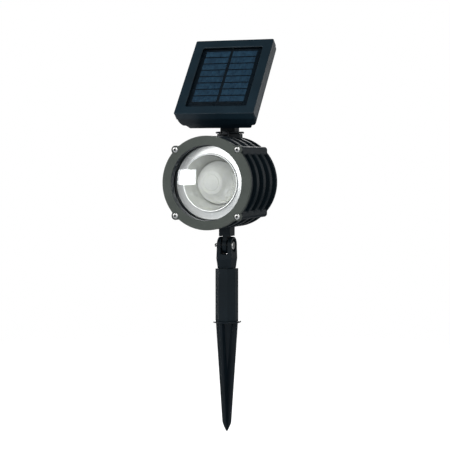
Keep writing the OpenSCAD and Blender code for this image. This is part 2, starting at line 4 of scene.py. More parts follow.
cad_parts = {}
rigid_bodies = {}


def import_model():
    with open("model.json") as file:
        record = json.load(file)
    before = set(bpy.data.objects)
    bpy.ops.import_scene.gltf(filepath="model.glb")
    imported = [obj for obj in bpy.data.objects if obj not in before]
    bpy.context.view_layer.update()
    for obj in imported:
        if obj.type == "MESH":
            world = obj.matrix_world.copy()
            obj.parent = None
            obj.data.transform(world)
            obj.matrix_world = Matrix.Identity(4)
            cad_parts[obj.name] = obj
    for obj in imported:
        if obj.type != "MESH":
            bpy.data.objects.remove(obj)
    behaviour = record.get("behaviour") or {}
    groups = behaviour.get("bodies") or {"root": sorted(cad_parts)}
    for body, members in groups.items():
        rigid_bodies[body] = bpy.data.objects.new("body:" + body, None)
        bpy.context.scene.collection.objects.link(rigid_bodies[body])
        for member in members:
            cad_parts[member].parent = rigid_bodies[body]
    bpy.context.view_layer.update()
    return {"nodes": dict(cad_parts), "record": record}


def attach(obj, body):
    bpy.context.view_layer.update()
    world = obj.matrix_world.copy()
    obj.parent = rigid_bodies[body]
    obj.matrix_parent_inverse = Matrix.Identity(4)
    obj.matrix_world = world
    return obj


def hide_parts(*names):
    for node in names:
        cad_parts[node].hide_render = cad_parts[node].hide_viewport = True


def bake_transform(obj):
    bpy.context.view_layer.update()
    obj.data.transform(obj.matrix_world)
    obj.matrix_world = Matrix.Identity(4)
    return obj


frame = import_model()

NODES = frame["nodes"]
MM = 0.001

# ---------------------------------------------------------------- sizes, mm
LZ = 145.5            # lamp axis height
SWY, SWZ = 8.5, 195.5  # swivel axis, disc underside
TZ = 217.8            # panel tilt axis
PZ = 80.1             # knuckle pivot
LEAN = 39.0
FACE = Vector((0, -7.92, 254.17))
A51 = math.radians(90 - LEAN)
PANEL = Matrix.Translation(FACE) @ Matrix.Rotation(A51, 4, "X")   # panel frame to row frame, mm
LUG_V, LUG_D = -17.9, -35.7
BTN = (22.0, -36.0)
LOCK_X = 1.8


# ---------------------------------------------------------------- node materials
class Mat:
    """A small helper that wires a Principled shader from object-space noise."""

    def __init__(self, name):
        self.m = bpy.data.materials.new(name)
        self.m.use_nodes = True
        self.t = self.m.node_tree
        self.n, self.l = self.t.nodes, self.t.links
        self.b = self.n["Principled BSDF"]
        self.out = self.n["Material Output"]
        self.tc = self.n.new("ShaderNodeTexCoord")

    def set(self, **kw):
        for k, v in kw.items():
            self.b.inputs[k.replace("_", " ")].default_value = v
        return self

    def coords(self, scale=(1, 1, 1), rot=(0, 0, 0), src=None):
        mp = self.n.new("ShaderNodeMapping")
        mp.inputs["Scale"].default_value = scale
        mp.inputs["Rotation"].default_value = rot
        self.l.new(src or self.tc.outputs["Object"], mp.inputs["Vector"])
        return mp.outputs["Vector"]

    def noise(self, scale, detail=3.0, rough=0.55, vec=None, dist=0.0):
        t = self.n.new("ShaderNodeTexNoise")
        t.inputs["Scale"].default_value = scale
        t.inputs["Detail"].default_value = detail
        t.inputs["Roughness"].default_value = rough
        t.inputs["Distortion"].default_value = dist
        self.l.new(vec or self.tc.outputs["Object"], t.inputs["Vector"])
        return t.outputs["Fac"]

    def voronoi(self, scale, vec=None, out="Color"):
        t = self.n.new("ShaderNodeTexVoronoi")
        t.inputs["Scale"].default_value = scale
        self.l.new(vec or self.tc.outputs["Object"], t.inputs["Vector"])
        return t.outputs[out]

    def ramp(self, fac, stops):
        r = self.n.new("ShaderNodeValToRGB")
        e = r.color_ramp.elements
        e[0].position, e[0].color = stops[0][0], (*stops[0][1], 1)
        e[1].position, e[1].color = stops[-1][0], (*stops[-1][1], 1)
        for p, c in stops[1:-1]:
            x = e.new(p)
            x.color = (*c, 1)
        self.l.new(fac, r.inputs["Fac"])
        return r.outputs["Color"]

    def range(self, fac, lo, hi, f0=0.0, f1=1.0):
        r = self.n.new("ShaderNodeMapRange")
        r.inputs["From Min"].default_value = f0
        r.inputs["From Max"].default_value = f1
        r.inputs["To Min"].default_value = lo
        r.inputs["To Max"].default_value = hi
        self.l.new(fac, r.inputs["Value"])
        return r.outputs["Result"]

    def math(self, op, a, b=None, clamp=False):
        m = self.n.new("ShaderNodeMath")
        m.operation = op
        m.use_clamp = clamp
        for i, v in enumerate((a, b)):
            if v is None:
                continue
            if isinstance(v, (int, float)):
                m.inputs[i].default_value = v
            else:
                self.l.new(v, m.inputs[i])
        return m.outputs[0]

    def mix(self, fac, a, b, kind="MIX"):
        m = self.n.new("ShaderNodeMix")
        m.data_type = "RGBA"
        m.blend_type = kind
        for i, v in ((0, fac), (6, a), (7, b)):
            if isinstance(v, (int, float)):
                m.inputs[i].default_value = v
            elif isinstance(v, tuple):
                m.inputs[i].default_value = (*v, 1)
            else:
                self.l.new(v, m.inputs[i])
        return m.outputs[2]

    def color(self, v):
        self.l.new(v, self.b.inputs["Base Color"])
        return self

    def rough(self, v):
        self.l.new(v, self.b.inputs["Roughness"])
        return self

    def bump(self, height, strength, dist):
        b = self.n.new("ShaderNodeBump")
        b.inputs["Strength"].default_value = strength
        b.inputs["Distance"].default_value = dist
        self.l.new(height, b.inputs["Height"])
        self.l.new(b.outputs["Normal"], self.b.inputs["Normal"])
        return self


def srgb(r, g, b):
    def f(c):
        c /= 255
        return c / 12.92 if c <= 0.04045 else ((c + 0.055) / 1.055) ** 2.4
    return (f(r), f(g), f(b))


def moulded(name, rgb, rough=0.42, grain=2600, grain_bump=0.18, vary=0.18, spec=0.45, coat=0.0):
    """Moulded plastic: a fine spark-eroded grain, slow tone changes, and sparse lighter specks."""
    m = Mat(name)
    slow = m.noise(34, 3, 0.55)
    fine = m.noise(grain, 2, 0.6)
    dark = tuple(c * (1 - vary) for c in rgb)
    light = tuple(min(1, c * (1 + vary)) for c in rgb)
    col = m.ramp(slow, [(0.32, dark), (0.5, rgb), (0.7, light)])
    speck = m.range(m.noise(900, 2, 0.5), 0.0, 0.10, 0.62, 0.78)
    col = m.mix(speck, col, tuple(min(1, c * 3.2 + 0.015) for c in rgb))
    m.color(col)
    r = m.math("ADD", m.range(m.noise(60, 3), -0.06, 0.06, 0.3, 0.7), m.range(fine, rough - 0.05, rough + 0.05))
    m.rough(r)
    m.set(Specular_IOR_Level=spec, Coat_Weight=coat, Coat_Roughness=0.3)
    m.bump(fine, grain_bump, 0.00006)
    return m.m


def metal(name, rgb, rough=0.28, scale=(40, 40, 900), bump=0.12, vary=0.1):
    """Turned or drawn metal with fine tool lines."""
    m = Mat(name)
    v = m.coords(scale)
    lines = m.noise(14, 3, 0.6, v)
    blot = m.noise(220, 3, 0.5)
    lo = tuple(c * (1 - vary) for c in rgb)
    m.color(m.ramp(blot, [(0.3, lo), (0.7, rgb)]))
    m.rough(m.range(lines, rough - 0.07, rough + 0.1, 0.3, 0.7))
    m.set(Metallic=1.0)
    m.bump(lines, bump, 0.00004)
    return m.m


def rubber(name, rgb, rough=0.72):
    m = Mat(name)
    fine = m.noise(1800, 4, 0.65)
    slow = m.noise(90, 3)
    m.color(m.ramp(slow, [(0.3, tuple(c * 0.75 for c in rgb)), (0.7, tuple(c * 1.35 + 0.002 for c in rgb))]))
    m.rough(m.range(fine, rough - 0.08, rough + 0.1))
    m.set(Specular_IOR_Level=0.35)
    m.bump(fine, 0.22, 0.00005)
    return m.m


BLACK = srgb(30, 39, 45)
MATS = {}
MATS["black_plastic"] = moulded("black_plastic", srgb(15, 27, 34), rough=0.42, spec=0.22)
MATS["panel_plastic"] = moulded("panel_plastic", srgb(22, 37, 46), rough=0.4, grain=2200, spec=0.2)
MATS["spike_plastic"] = moulded("spike_plastic", srgb(13, 24, 31), rough=0.38, grain=1500, grain_bump=0.12, spec=0.22)
MATS["mouth_black"] = moulded("mouth_black", srgb(14, 24, 33), rough=0.4, spec=0.15)
MATS["post_plastic"] = moulded("post_plastic", srgb(16, 28, 35), rough=0.46, grain=1300, grain_bump=0.3, spec=0.2)
MATS["button_plastic"] = moulded("button_plastic", srgb(48, 54, 58), rough=0.5)
MATS["tray_plastic"] = moulded("tray_plastic", srgb(34, 35, 38), rough=0.55)
MATS["component_black"] = moulded("component_black", srgb(32, 33, 35), rough=0.35, grain=1200)
MATS["rubber_black"] = rubber("rubber_black", srgb(26, 27, 28))
MATS["lead_sheath"] = rubber("lead_sheath", srgb(22, 23, 24), 0.5)
MATS["steel"] = metal("steel", (0.80, 0.80, 0.79), 0.2)
MATS["steel_screw"] = metal("steel_screw", (0.97, 0.97, 0.955), 0.3, scale=(60, 60, 60), bump=0.05, vary=0.04)
# painted shade: near-black steel laid on the faces inside each screw's cross recess, standing in for the shade that
# falls there
MATS["screw_recess_painted_shade"] = metal("screw_recess_painted_shade", (0.10, 0.105, 0.11), 0.45, scale=(60, 60, 60), bump=0.05, vary=0.2)
MATS["black_oxide"] = metal("black_oxide", (0.055, 0.06, 0.065), 0.34, scale=(60, 60, 60), bump=0.06, vary=0.2)
MATS["aluminium"] = metal("aluminium", (0.78, 0.79, 0.80), 0.32, scale=(30, 500, 30))
MATS["ribbon_tin"] = metal("ribbon_tin", (0.035, 0.045, 0.055), 0.45, scale=(400, 60, 60))
MATS["contact_nickel"] = metal("contact_nickel", (0.66, 0.62, 0.5), 0.25, scale=(60, 60, 400))


def bezel_paint():
    """Satin metallic paint, grey with a green cast and tiny flakes."""
    m = Mat("bezel_paint")
    flake = m.voronoi(2600, out="Color")
    bw = m.n.new("ShaderNodeRGBToBW")
    m.l.new(flake, bw.inputs["Color"])
    slow = m.noise(26, 3, 0.5)
    base = m.ramp(slow, [(0.3, srgb(79, 85, 80)), (0.5, srgb(86, 92, 87)), (0.72, srgb(92, 98, 92))])
    base = m.mix(m.range(bw.outputs["Val"], 0.0, 0.22, 0.55, 1.0), base, srgb(124, 127, 123))
    base = m.mix(m.range(bw.outputs["Val"], 0.25, 0.0, 0.0, 0.4), base, srgb(64, 69, 66))
    m.color(base)
    m.rough(m.range(m.noise(300, 3), 0.46, 0.6, 0.3, 0.7))
    m.set(Specular_IOR_Level=0.35, Metallic=0.12)
    m.bump(m.noise(1500, 3, 0.6), 0.2, 0.00006)
    return m.m


MATS["bezel_paint"] = bezel_paint()


def chrome(name, lo, hi, metallic, peel_bump):
    """Vacuum-plated reflector with a faint orange peel."""
    m = Mat(name)
    peel = m.noise(120, 2, 0.4)
    m.color(m.ramp(m.noise(60, 2), [(0.3, (0.90, 0.91, 0.905)), (0.7, (0.95, 0.955, 0.945))]))
    m.rough(m.range(m.noise(500, 3), lo, hi, 0.3, 0.7))
    m.set(Metallic=metallic)
    m.bump(peel, peel_bump, 0.0004)
    return m.m


MATS["reflector_chrome"] = chrome("reflector_chrome", 0.07, 0.12, 1.0, 0.04)
MATS["reflector_rim"] = chrome("reflector_rim", 0.2, 0.28, 0.5, 0.03)


def optic():
    """Frosted moulded optic: milky, a little see-through, with a satin skin."""
    m = Mat("frosted_optic")
    m.color(m.ramp(m.noise(90, 3), [(0.3, (0.80, 0.81, 0.77)), (0.7, (0.88, 0.89, 0.85))]))
    m.rough(m.range(m.noise(700, 3), 0.42, 0.55, 0.3, 0.7))
    m.set(Transmission_Weight=0.12, IOR=1.49, Specular_IOR_Level=0.3)
    m.b.inputs["Subsurface Weight"].default_value = 0.35
    m.b.inputs["Subsurface Radius"].default_value = (0.004, 0.004, 0.0035)
    m.bump(m.noise(900, 2), 0.05, 0.0001)
    return m.m


MATS["frosted_optic"] = optic()


def clear(name, tint, rough_lo, rough_hi, dirt=0.02, mirror=0.9):
    """Clear cover: see-through, with a glossy skin, a few specks of dust and faint smears."""
    m = Mat(name)
    dust = m.range(m.noise(1400, 2, 0.5), 0.0, dirt * 3, 0.68, 0.8)
    smear = m.range(m.noise(30, 4, 0.6, m.coords((1, 3, 1))), 0.0, dirt, 0.4, 0.8)
    lw = m.n.new("ShaderNodeLayerWeight")
    lw.inputs["Blend"].default_value = 0.5
    schlick = m.math("ADD", m.math("MULTIPLY", m.math("POWER", lw.outputs["Facing"], 5.0), 0.96), 0.04)
    a = m.math("ADD", m.math("ADD", dust, smear), m.math("MULTIPLY", schlick, mirror), clamp=True)
    tr = m.n.new("ShaderNodeBsdfTransparent")
    tr.inputs["Color"].default_value = (*tint, 1)
    mix = m.n.new("ShaderNodeMixShader")
    m.l.new(a, mix.inputs["Fac"])
    m.l.new(tr.outputs[0], mix.inputs[1])
    m.l.new(m.b.outputs[0], mix.inputs[2])
    m.l.new(mix.outputs[0], m.out.inputs["Surface"])
    m.color(m.ramp(m.noise(20, 2), [(0.3, (0.82, 0.84, 0.85)), (0.7, (0.9, 0.91, 0.92))]))
    m.rough(m.range(m.noise(50, 3), rough_lo, rough_hi, 0.3, 0.7))
    m.set(Metallic=1.0)
    return m.m


MATS["lens_glass"] = clear("lens_glass", (0.98, 0.985, 0.985), 0.012, 0.02, dirt=0.006)
MATS["pane"] = clear("pane", (0.93, 0.955, 0.97), 0.02, 0.04, dirt=0.002, mirror=0.3)


def solar():
    """Poly-crystalline cell: navy crystals, fine silver fingers across each strip and a glossy coat."""
    m = Mat("solar_blue")
    inv = PANEL.inverted()
    v = m.n.new("ShaderNodeMapping")
    v.vector_type = "POINT"
    eul = inv.to_euler()
    v.inputs["Rotation"].default_value = eul
    loc = inv.to_translation() * MM
    v.inputs["Location"].default_value = loc
    m.l.new(m.tc.outputs["Object"], v.inputs["Vector"])
    uv = v.outputs["Vector"]
    cry = m.voronoi(420, m.coords((1, 0.6, 1), src=uv), "Color")
    bw = m.n.new("ShaderNodeRGBToBW")
    m.l.new(cry, bw.inputs["Color"])
    col = m.ramp(bw.outputs["Val"], [(0.1, srgb(37, 58, 75)), (0.5, srgb(42, 66, 84)), (0.9, srgb(49, 77, 96))])
    sep = m.n.new("ShaderNodeSeparateXYZ")
    m.l.new(uv, sep.inputs["Vector"])
    fx = m.math("FRACT", m.math("MULTIPLY", sep.outputs["X"], 1 / 0.0022))
    line = m.math("LESS_THAN", fx, 0.06)
    col = m.mix(m.math("MULTIPLY", line, 0.22), col, srgb(105, 120, 128))
    # bare dark margin along both long sides of every strip
    fy = m.math("FRACT", m.math("MULTIPLY", m.math("ADD", sep.outputs["Y"], 0.03245), 1 / 0.0088))
    margin = m.math("ADD", m.math("LESS_THAN", fy, 0.035), m.math("GREATER_THAN", fy, 0.862), clamp=True)
    col = m.mix(m.math("MULTIPLY", margin, 0.9), col, srgb(13, 24, 33))
    m.color(col)
    m.rough(m.range(m.noise(300, 2), 0.25, 0.36, 0.3, 0.7))
    m.set(Coat_Weight=0.06, Coat_Roughness=0.2, Specular_IOR_Level=0.15)
    return m.m


MATS["solar_blue"] = solar()
MATS["solar_backing"] = moulded("solar_backing", srgb(14, 24, 31), rough=0.3, grain=800, grain_bump=0.05, spec=0.2)


def board(name, rgb):
    """Circuit board: solder mask with fine copper tracks showing as raised lines."""
    m = Mat(name)
    v = m.coords((1, 1, 1))
    br = m.n.new("ShaderNodeTexBrick")
    br.inputs["Scale"].default_value = 260
    br.inputs["Mortar Size"].default_value = 0.035
    m.l.new(v, br.inputs["Vector"])
    col = m.mix(br.outputs["Fac"], rgb, tuple(min(1, c * 1.9 + 0.01) for c in rgb))
    m.color(m.mix(m.range(m.noise(80, 2), 0, 0.25), col, tuple(c * 0.7 for c in rgb)))
    m.rough(m.range(m.noise(400, 2), 0.3, 0.42))
    m.bump(br.outputs["Fac"], 0.2, 0.00006)
    return m.m


MATS["board_green"] = board("board_green", srgb(30, 96, 58))
MATS["led_board_white"] = board("led_board_white", srgb(222, 222, 216))


def simple(name, lo, hi, rlo, rhi, scale=200, **kw):
    m = Mat(name)
    m.color(m.ramp(m.noise(scale, 3), [(0.3, lo), (0.7, hi)]))
    m.rough(m.range(m.noise(scale * 3, 3), rlo, rhi, 0.3, 0.7))
    m.set(**kw)
    m.bump(m.noise(scale * 4, 2), 0.08, 0.0001)
    return m.m


MATS["phosphor"] = simple("phosphor", (0.85, 0.70, 0.16), (0.92, 0.80, 0.25), 0.2, 0.35)
MATS["battery_sleeve"] = simple("battery_sleeve", srgb(28, 112, 74), srgb(38, 136, 92), 0.14, 0.24, 60, Coat_Weight=0.4)


# ---------------------------------------------------------------- mesh tools
def link(name, mesh):
    o = bpy.data.objects.new(name, mesh)
    bpy.context.scene.collection.objects.link(o)
    return o


def raw(name, verts, faces, mat=None):
    """Object from vertices in mm."""
    me = bpy.data.meshes.new(name)
    me.from_pydata([tuple(Vector(v) * MM) for v in verts], [], faces)
    me.validate()
    bm = bmesh.new()
    bm.from_mesh(me)
    bmesh.ops.remove_doubles(bm, verts=bm.verts, dist=1e-8)
    bmesh.ops.recalc_face_normals(bm, faces=bm.faces)
    bm.to_mesh(me)
    bm.free()
    o = link(name, me)
    if mat:
        me.materials.append(MATS[mat])
    return o


def evaluated(o):
    """Replaces o's mesh by its modifiers' result, and clears them."""
    dg = bpy.context.evaluated_depsgraph_get()
    dg.update()
    me = bpy.data.meshes.new_from_object(o.evaluated_get(dg), depsgraph=dg)
    old = o.data
    o.modifiers.clear()
    o.data = me
    if isinstance(old, bpy.types.Mesh) and old.users == 0:
        bpy.data.meshes.remove(old)
    return o


def boolean(o, cutters, op="DIFFERENCE", keep=False):
    for c in cutters if isinstance(cutters, (list, tuple)) else [cutters]:
        md = o.modifiers.new("b", "BOOLEAN")
        md.operation = op
        md.solver = "EXACT"
        md.object = c
        evaluated(o)
        if not keep:
            me = c.data
            bpy.data.objects.remove(c)
            if me.users == 0:
                bpy.data.meshes.remove(me)
    return o


def bevel(o, width, segs=2, angle=35):
    bm = bmesh.new()
    bm.from_mesh(o.data)
    bmesh.ops.remove_doubles(bm, verts=bm.verts, dist=2e-6)
    bmesh.ops.dissolve_limit(bm, angle_limit=math.radians(0.4), verts=bm.verts, edges=bm.edges)
    bm.to_mesh(o.data)
    bm.free()
    md = o.modifiers.new("v", "BEVEL")
    md.width = width * MM
    md.segments = segs
    md.limit_method = "ANGLE"
    md.angle_limit = math.radians(angle)
    md.miter_outer = "MITER_ARC"
    md.use_clamp_overlap = True
    return evaluated(o)


def shade(o, angle=32):
    """Smooth shading with sharp edges above an angle."""
    bm = bmesh.new()
    bm.from_mesh(o.data)
    lim = math.radians(angle)
    for f in bm.faces:
        f.smooth = True
    for e in bm.edges:
        if len(e.link_faces) == 2:
            e.smooth = e.calc_face_angle(0) < lim
        else:
            e.smooth = False
    bm.to_mesh(o.data)
    bm.free()
    return o


def put(o, body, nodes=(), mat=None, angle=32, xf=None):
    """Final touches: place, shade, material, and the frame's own calls."""
    if xf is not None:
        m = xf.copy()
        m.translation = m.translation * MM
        o.data.transform(m)
    if mat:
        o.data.materials.clear()
        o.data.materials.append(MATS[mat])
    shade(o, angle)
    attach(o, body)
    if nodes:
        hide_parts(*nodes)
    return o


def join(objs, name):
    """One object from several, with no boolean."""
    bm = bmesh.new()
    mats = []
    for o in objs:
        idx = {}
        for i, m in enumerate(o.data.materials):
            if m not in mats:
                mats.append(m)
            idx[i] = mats.index(m)
        start = len(bm.faces)
        bm.from_mesh(o.data)
        bm.faces.ensure_lookup_table()
        for f in bm.faces[start:]:
            f.material_index = idx.get(f.material_index, 0)
    me = bpy.data.meshes.new(name)
    bm.to_mesh(me)
    bm.free()
    for m in mats:
        me.materials.append(m)
    for o in objs:
        d = o.data
        bpy.data.objects.remove(o)
        if d.users == 0:
            bpy.data.meshes.remove(d)
    return link(name, me)


def arc(cx, cy, r, a0, a1, n):
    return [(cx + r * math.cos(math.radians(a0 + (a1 - a0) * i / n)), cy + r * math.sin(math.radians(a0 + (a1 - a0) * i / n))) for i in range(n + 1)]


def circle(r, n=64, cx=0.0, cy=0.0):
    return [(cx + r * math.cos(2 * math.pi * i / n), cy + r * math.sin(2 * math.pi * i / n)) for i in range(n)]


def fillet(pts, radii, n=5, closed=True):
    """Rounds the corners of a polygon. radii is one number or one for each corner."""
    out, m = [], len(pts)
    if isinstance(radii, (int, float)):
        radii = [radii] * m
    for i, p in enumerate(pts):
        r = radii[i]
        if r <= 0 or (not closed and i in (0, m - 1)):
            out.append(tuple(p))
            continue
        a, b, c = Vector(pts[i - 1]), Vector(p), Vector(pts[(i + 1) % m])
        u, v = (a - b), (c - b)
        lu, lv = u.length, v.length
        if lu < 1e-9 or lv < 1e-9:
            out.append(tuple(p))
            continue
        u, v = u / lu, v / lv
        ang = math.acos(max(-1, min(1, u.dot(v))))
        if ang > math.radians(176) or ang < math.radians(4):
            out.append(tuple(p))
            continue
        t = min(r / math.tan(ang / 2), 0.49 * lu, 0.49 * lv)
        rr = t * math.tan(ang / 2)
        bis = (u + v).normalized()
        c0 = b + bis * (rr / math.sin(ang / 2))
        s, e = b + u * t - c0, b + v * t - c0
        a0, a1 = math.atan2(s.y, s.x), math.atan2(e.y, e.x)
        d = (a1 - a0 + math.pi) % (2 * math.pi) - math.pi
        for k in range(n + 1):
            q = a0 + d * k / n
            out.append((c0.x + rr * math.cos(q), c0.y + rr * math.sin(q)))
    return out


def rrect(w, l, r, n=10, cx=0.0, cy=0.0):
    p = [(cx + w / 2, cy + l / 2), (cx - w / 2, cy + l / 2), (cx - w / 2, cy - l / 2), (cx + w / 2, cy - l / 2)]
    return fillet(p, r, n)


# a lathe about the lamp's axis (along Y), the Z axis or the X axis
def lathe(name, prof, axis="Y", at=(0, 0, 0), n=128, mat=None, closed=True):
    """prof: [(radius, position along the axis)], closed into a ring unless closed is False."""
    verts, faces, m = [], [], len(prof)
    single = [abs(r) < 1e-9 for r, _ in prof]
    idx = []
    for j, (r, h) in enumerate(prof):
        if single[j]:
            idx.append([len(verts)] * n)
            verts.append((0.0, 0.0, h))
        else:
            idx.append(list(range(len(verts), len(verts) + n)))
            for i in range(n):
                a = 2 * math.pi * i / n
                verts.append((r * math.cos(a), r * math.sin(a), h))
    for j in range(m if closed else m - 1):
        k = (j + 1) % m
        if single[j] and single[k]:
            continue
        for i in range(n):
            q = (i + 1) % n
            f = [idx[j][i], idx[j][q], idx[k][q], idx[k][i]]
            g = []
            for v in f:
                if v not in g:
                    g.append(v)
            if len(g) > 2:
                faces.append(g)
    out = []
    for x, y, z in verts:
        if axis == "Y":
            p = (x, z, -y)
        elif axis == "X":
            p = (z, x, y)
        else:
            p = (x, y, z)
        out.append((p[0] + at[0], p[1] + at[1], p[2] + at[2]))
    return raw(name, out, faces, mat)


def plate(name, loops, z0, z1, bev=0.4, res=3, mat=None):
    """Flat plate in the local X-Y plane between z0 and z1, from an outer loop and hole loops, every edge rounded."""
    cu = bpy.data.curves.new(name, "CURVE")
    cu.dimensions = "2D"
    cu.fill_mode = "BOTH"
    for lp in loops:
        sp = cu.splines.new("POLY")
        sp.points.add(len(lp) - 1)
        for p, (x, y) in zip(sp.points, lp):
            p.co = (x * MM, y * MM, 0, 1)
        sp.use_cyclic_u = True
    h = abs(z1 - z0) / 2
    bev = min(bev, h * 0.98)
    cu.extrude = (h - bev) * MM
    cu.bevel_depth = bev * MM
    cu.bevel_resolution = res
    cu.offset = -bev * MM
    o = link(name, cu)
    dg = bpy.context.evaluated_depsgraph_get()
    dg.update()
    me = bpy.data.meshes.new_from_object(o.evaluated_get(dg), depsgraph=dg)
    bpy.data.objects.remove(o)
    bm = bmesh.new()
    bm.from_mesh(me)
    bmesh.ops.remove_doubles(bm, verts=bm.verts, dist=1e-7)
    bmesh.ops.recalc_face_normals(bm, faces=bm.faces)
    bmesh.ops.translate(bm, verts=bm.verts, vec=(0, 0, (z0 + z1) / 2 * MM))
    bm.to_mesh(me)
    bm.free()
    me.materials.clear()
    o = link(name, me)
    if mat:
        me.materials.append(MATS[mat])
    return o


def prism(name, loop, z0, z1, mat=None):
    """Sharp prism, for cutters."""
    n = len(loop)
    v = [(x, y, z0) for x, y in loop] + [(x, y, z1) for x, y in loop]
    f = [list(range(n))[::-1], list(range(n, 2 * n))] + [[i, (i + 1) % n, n + (i + 1) % n, n + i] for i in range(n)]
    return raw(name, v, f, mat)


def loft(name, loops, mat=None, cap=True):
    """Skin through closed loops of 3-D points, all with the same count."""
    n = len(loops[0])
    v = [p for lp in loops for p in lp]
    f = []
    for j in range(len(loops) - 1):
        for i in range(n):
            k = (i + 1) % n
            f.append([j * n + i, j * n + k, (j + 1) * n + k, (j + 1) * n + i])
    if cap:
        f.append(list(range(n))[::-1])
        f.append([(len(loops) - 1) * n + i for i in range(n)])
    return raw(name, v, f, mat)


def move(o, m):
    """Transforms a mesh by a matrix whose translation is in mm."""
    q = m.copy()
    q.translation = q.translation * MM
    o.data.transform(q)
    return o


# matrices that lay a plate's local X-Y plane on a plane of the row frame
XZ = Matrix(((1, 0, 0, 0), (0, 0, -1, 0), (0, 1, 0, 0), (0, 0, 0, 1)))     # local z becomes -Y
YZ = Matrix(((0, 0, 1, 0), (1, 0, 0, 0), (0, 1, 0, 0), (0, 0, 0, 1)))      # local z becomes +X


def at(x, y, z):
    return Matrix.Translation((x, y, z))


def head_screw(name, r, h, shank, length, kind="cross", mat="steel_screw", turn=0.0, wide=0.17):
    """Screw along +Z: rounded pan head from 0 to h, shank below, with a driver recess whose inside carries painted
    shade.
    """
    prof = fillet([(0, h), (r * 0.72, h), (r, h * 0.35), (r, 0), (shank, 0), (shank, -length), (0, -length)],
                  [0, h * 0.8, h * 0.25, h * 0.12, 0, shank * 0.3, 0], 5, closed=False)
    o = lathe(name, prof, "Z", n=64, mat=mat, closed=False)
    if kind == "cross":
        w, t, d = r * 0.56, r * wide, h * 0.66
        cuts = []
        for a in (0, 90):
            c = raw("c", [(-w, -t, h + 1), (w, -t, h + 1), (w, t, h + 1), (-w, t, h + 1),
                          (-w * 0.55, -t * 0.7, h - d), (w * 0.55, -t * 0.7, h - d), (w * 0.55, t * 0.7, h - d), (-w * 0.55, t * 0.7, h - d)],
                    [(0, 1, 2, 3), (7, 6, 5, 4), (0, 4, 5, 1), (1, 5, 6, 2), (2, 6, 7, 3), (3, 7, 4, 0)])
            c.data.transform(Matrix.Rotation(math.radians(a + turn), 4, "Z"))
            cuts.append(c)
        boolean(o, cuts)
        # the faces inside the cross recess take the near-black steel: painted shade for the recess
        o.data.materials.append(MATS["screw_recess_painted_shade"])
        for f in o.data.polygons:
            c = f.center / MM
            if math.hypot(c.x, c.y) < w * 1.05 and h - d - 0.05 < c.z < h - 0.12 and abs(f.normal.z) < 0.9:
                f.material_index = 1
            if math.hypot(c.x, c.y) < w * 0.7 and abs(c.z - (h - d)) < 0.02:
                f.material_index = 1
    elif kind == "hex":
        c = prism("c", circle(r * 0.42, 6), h * 0.35, h + 1)
        boolean(o, c)
    return o


def clean_copy(node, mat):
    """A fresh mesh with the CAD node's shape, its flat faces merged, for rounding."""
    src = NODES[node]
    me = src.data.copy()
    me.transform(src.matrix_world)
    me.materials.clear()
    me.materials.append(MATS[mat])
    me.name = node + "_part"
    for a in ("custom_normal", "sharp_face", "sharp_edge"):
        at_ = me.attributes.get(a)
        if at_ is not None:
            me.attributes.remove(at_)
    bm = bmesh.new()
    bm.from_mesh(me)
    bmesh.ops.remove_doubles(bm, verts=bm.verts, dist=1e-6)
    bmesh.ops.dissolve_limit(bm, angle_limit=math.radians(0.5), verts=bm.verts, edges=bm.edges, use_dissolve_boundaries=False)
    bmesh.ops.dissolve_degenerate(bm, dist=1e-6, edges=bm.edges)
    bm.to_mesh(me)
    bm.free()
    me.update()
    return link(node + "_part", me)


def weighted(o):
    md = o.modifiers.new("w", "WEIGHTED_NORMAL")
    md.mode = "FACE_AREA"
    md.keep_sharp = True
    md.weight = 60
    return evaluated(o)


def rounded(node, body, mat, width, segs=2, angle=40, name=None):
    """The CAD node's own shape with every sharp edge rounded."""
    o = clean_copy(node, mat)
    if name:
        o.name = name
    md = o.modifiers.new("v", "BEVEL")
    md.width = width * MM
    md.segments = segs
    md.limit_method = "ANGLE"
    md.angle_limit = math.radians(angle)
    md.use_clamp_overlap = True
    md.loop_slide = True
    evaluated(o)
    shade(o, 50)
    weighted(o)
    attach(o, body)
    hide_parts(node)
    return o


rec = frame["record"]
_mats = rec.get("materials")


# ================================================================ lamp head
D_LUG = 33 * math.sqrt(2)


def web(deg, a):
    """Radius of a screw lug and its web at this angle from the lug's centre line."""
    s = abs(math.radians(deg))
    if a <= 0:
        return 0.0
    if D_LUG * math.sin(s) < a and s < 0.5:
        return D_LUG * math.cos(s) + math.sqrt(a * a - (D_LUG * math.sin(s)) ** 2)
    if s > 0.6:
        return 0.0
    return a / math.sin(s)


def post_out(deg, inset):
    """Radius of a screw post behind the flange: flat outer faces, a round corner, sides that run in to the barrel."""
    s = abs(math.radians(deg))
    fi = math.pi / 4 - s
    x = 36.3 - inset
    rc = 3.3
    c = 33.0 - inset
    d = c * math.sqrt(2)
    if s > math.radians(9):
        return 0.0
    t = x / math.cos(fi)
    if t * math.sin(fi) > c:
        q = rc * rc - (d * math.sin(s)) ** 2
        return d * math.cos(s) + math.sqrt(max(q, 0.0))
    if t * math.sin(fi) >= 28.2:
        return t
    k = (28.2 - x * math.tan(fi)) / (math.tan(fi) - 0.983)
    return max(0.0, (x + k) / math.cos(fi))


def smax(a, b, k):
    h = max(k - abs(a - b), 0) / k
    return max(a, b) + h * h * k / 4


def lug_thetas():
    step = [-45 + 3 * i for i in range(12)] + [-9 + 0.45 * i for i in range(40)] + [9 + 3 * i for i in range(12)]
    return [45 + 90 * q + d for q in range(4) for d in step]


THETAS = lug_thetas()


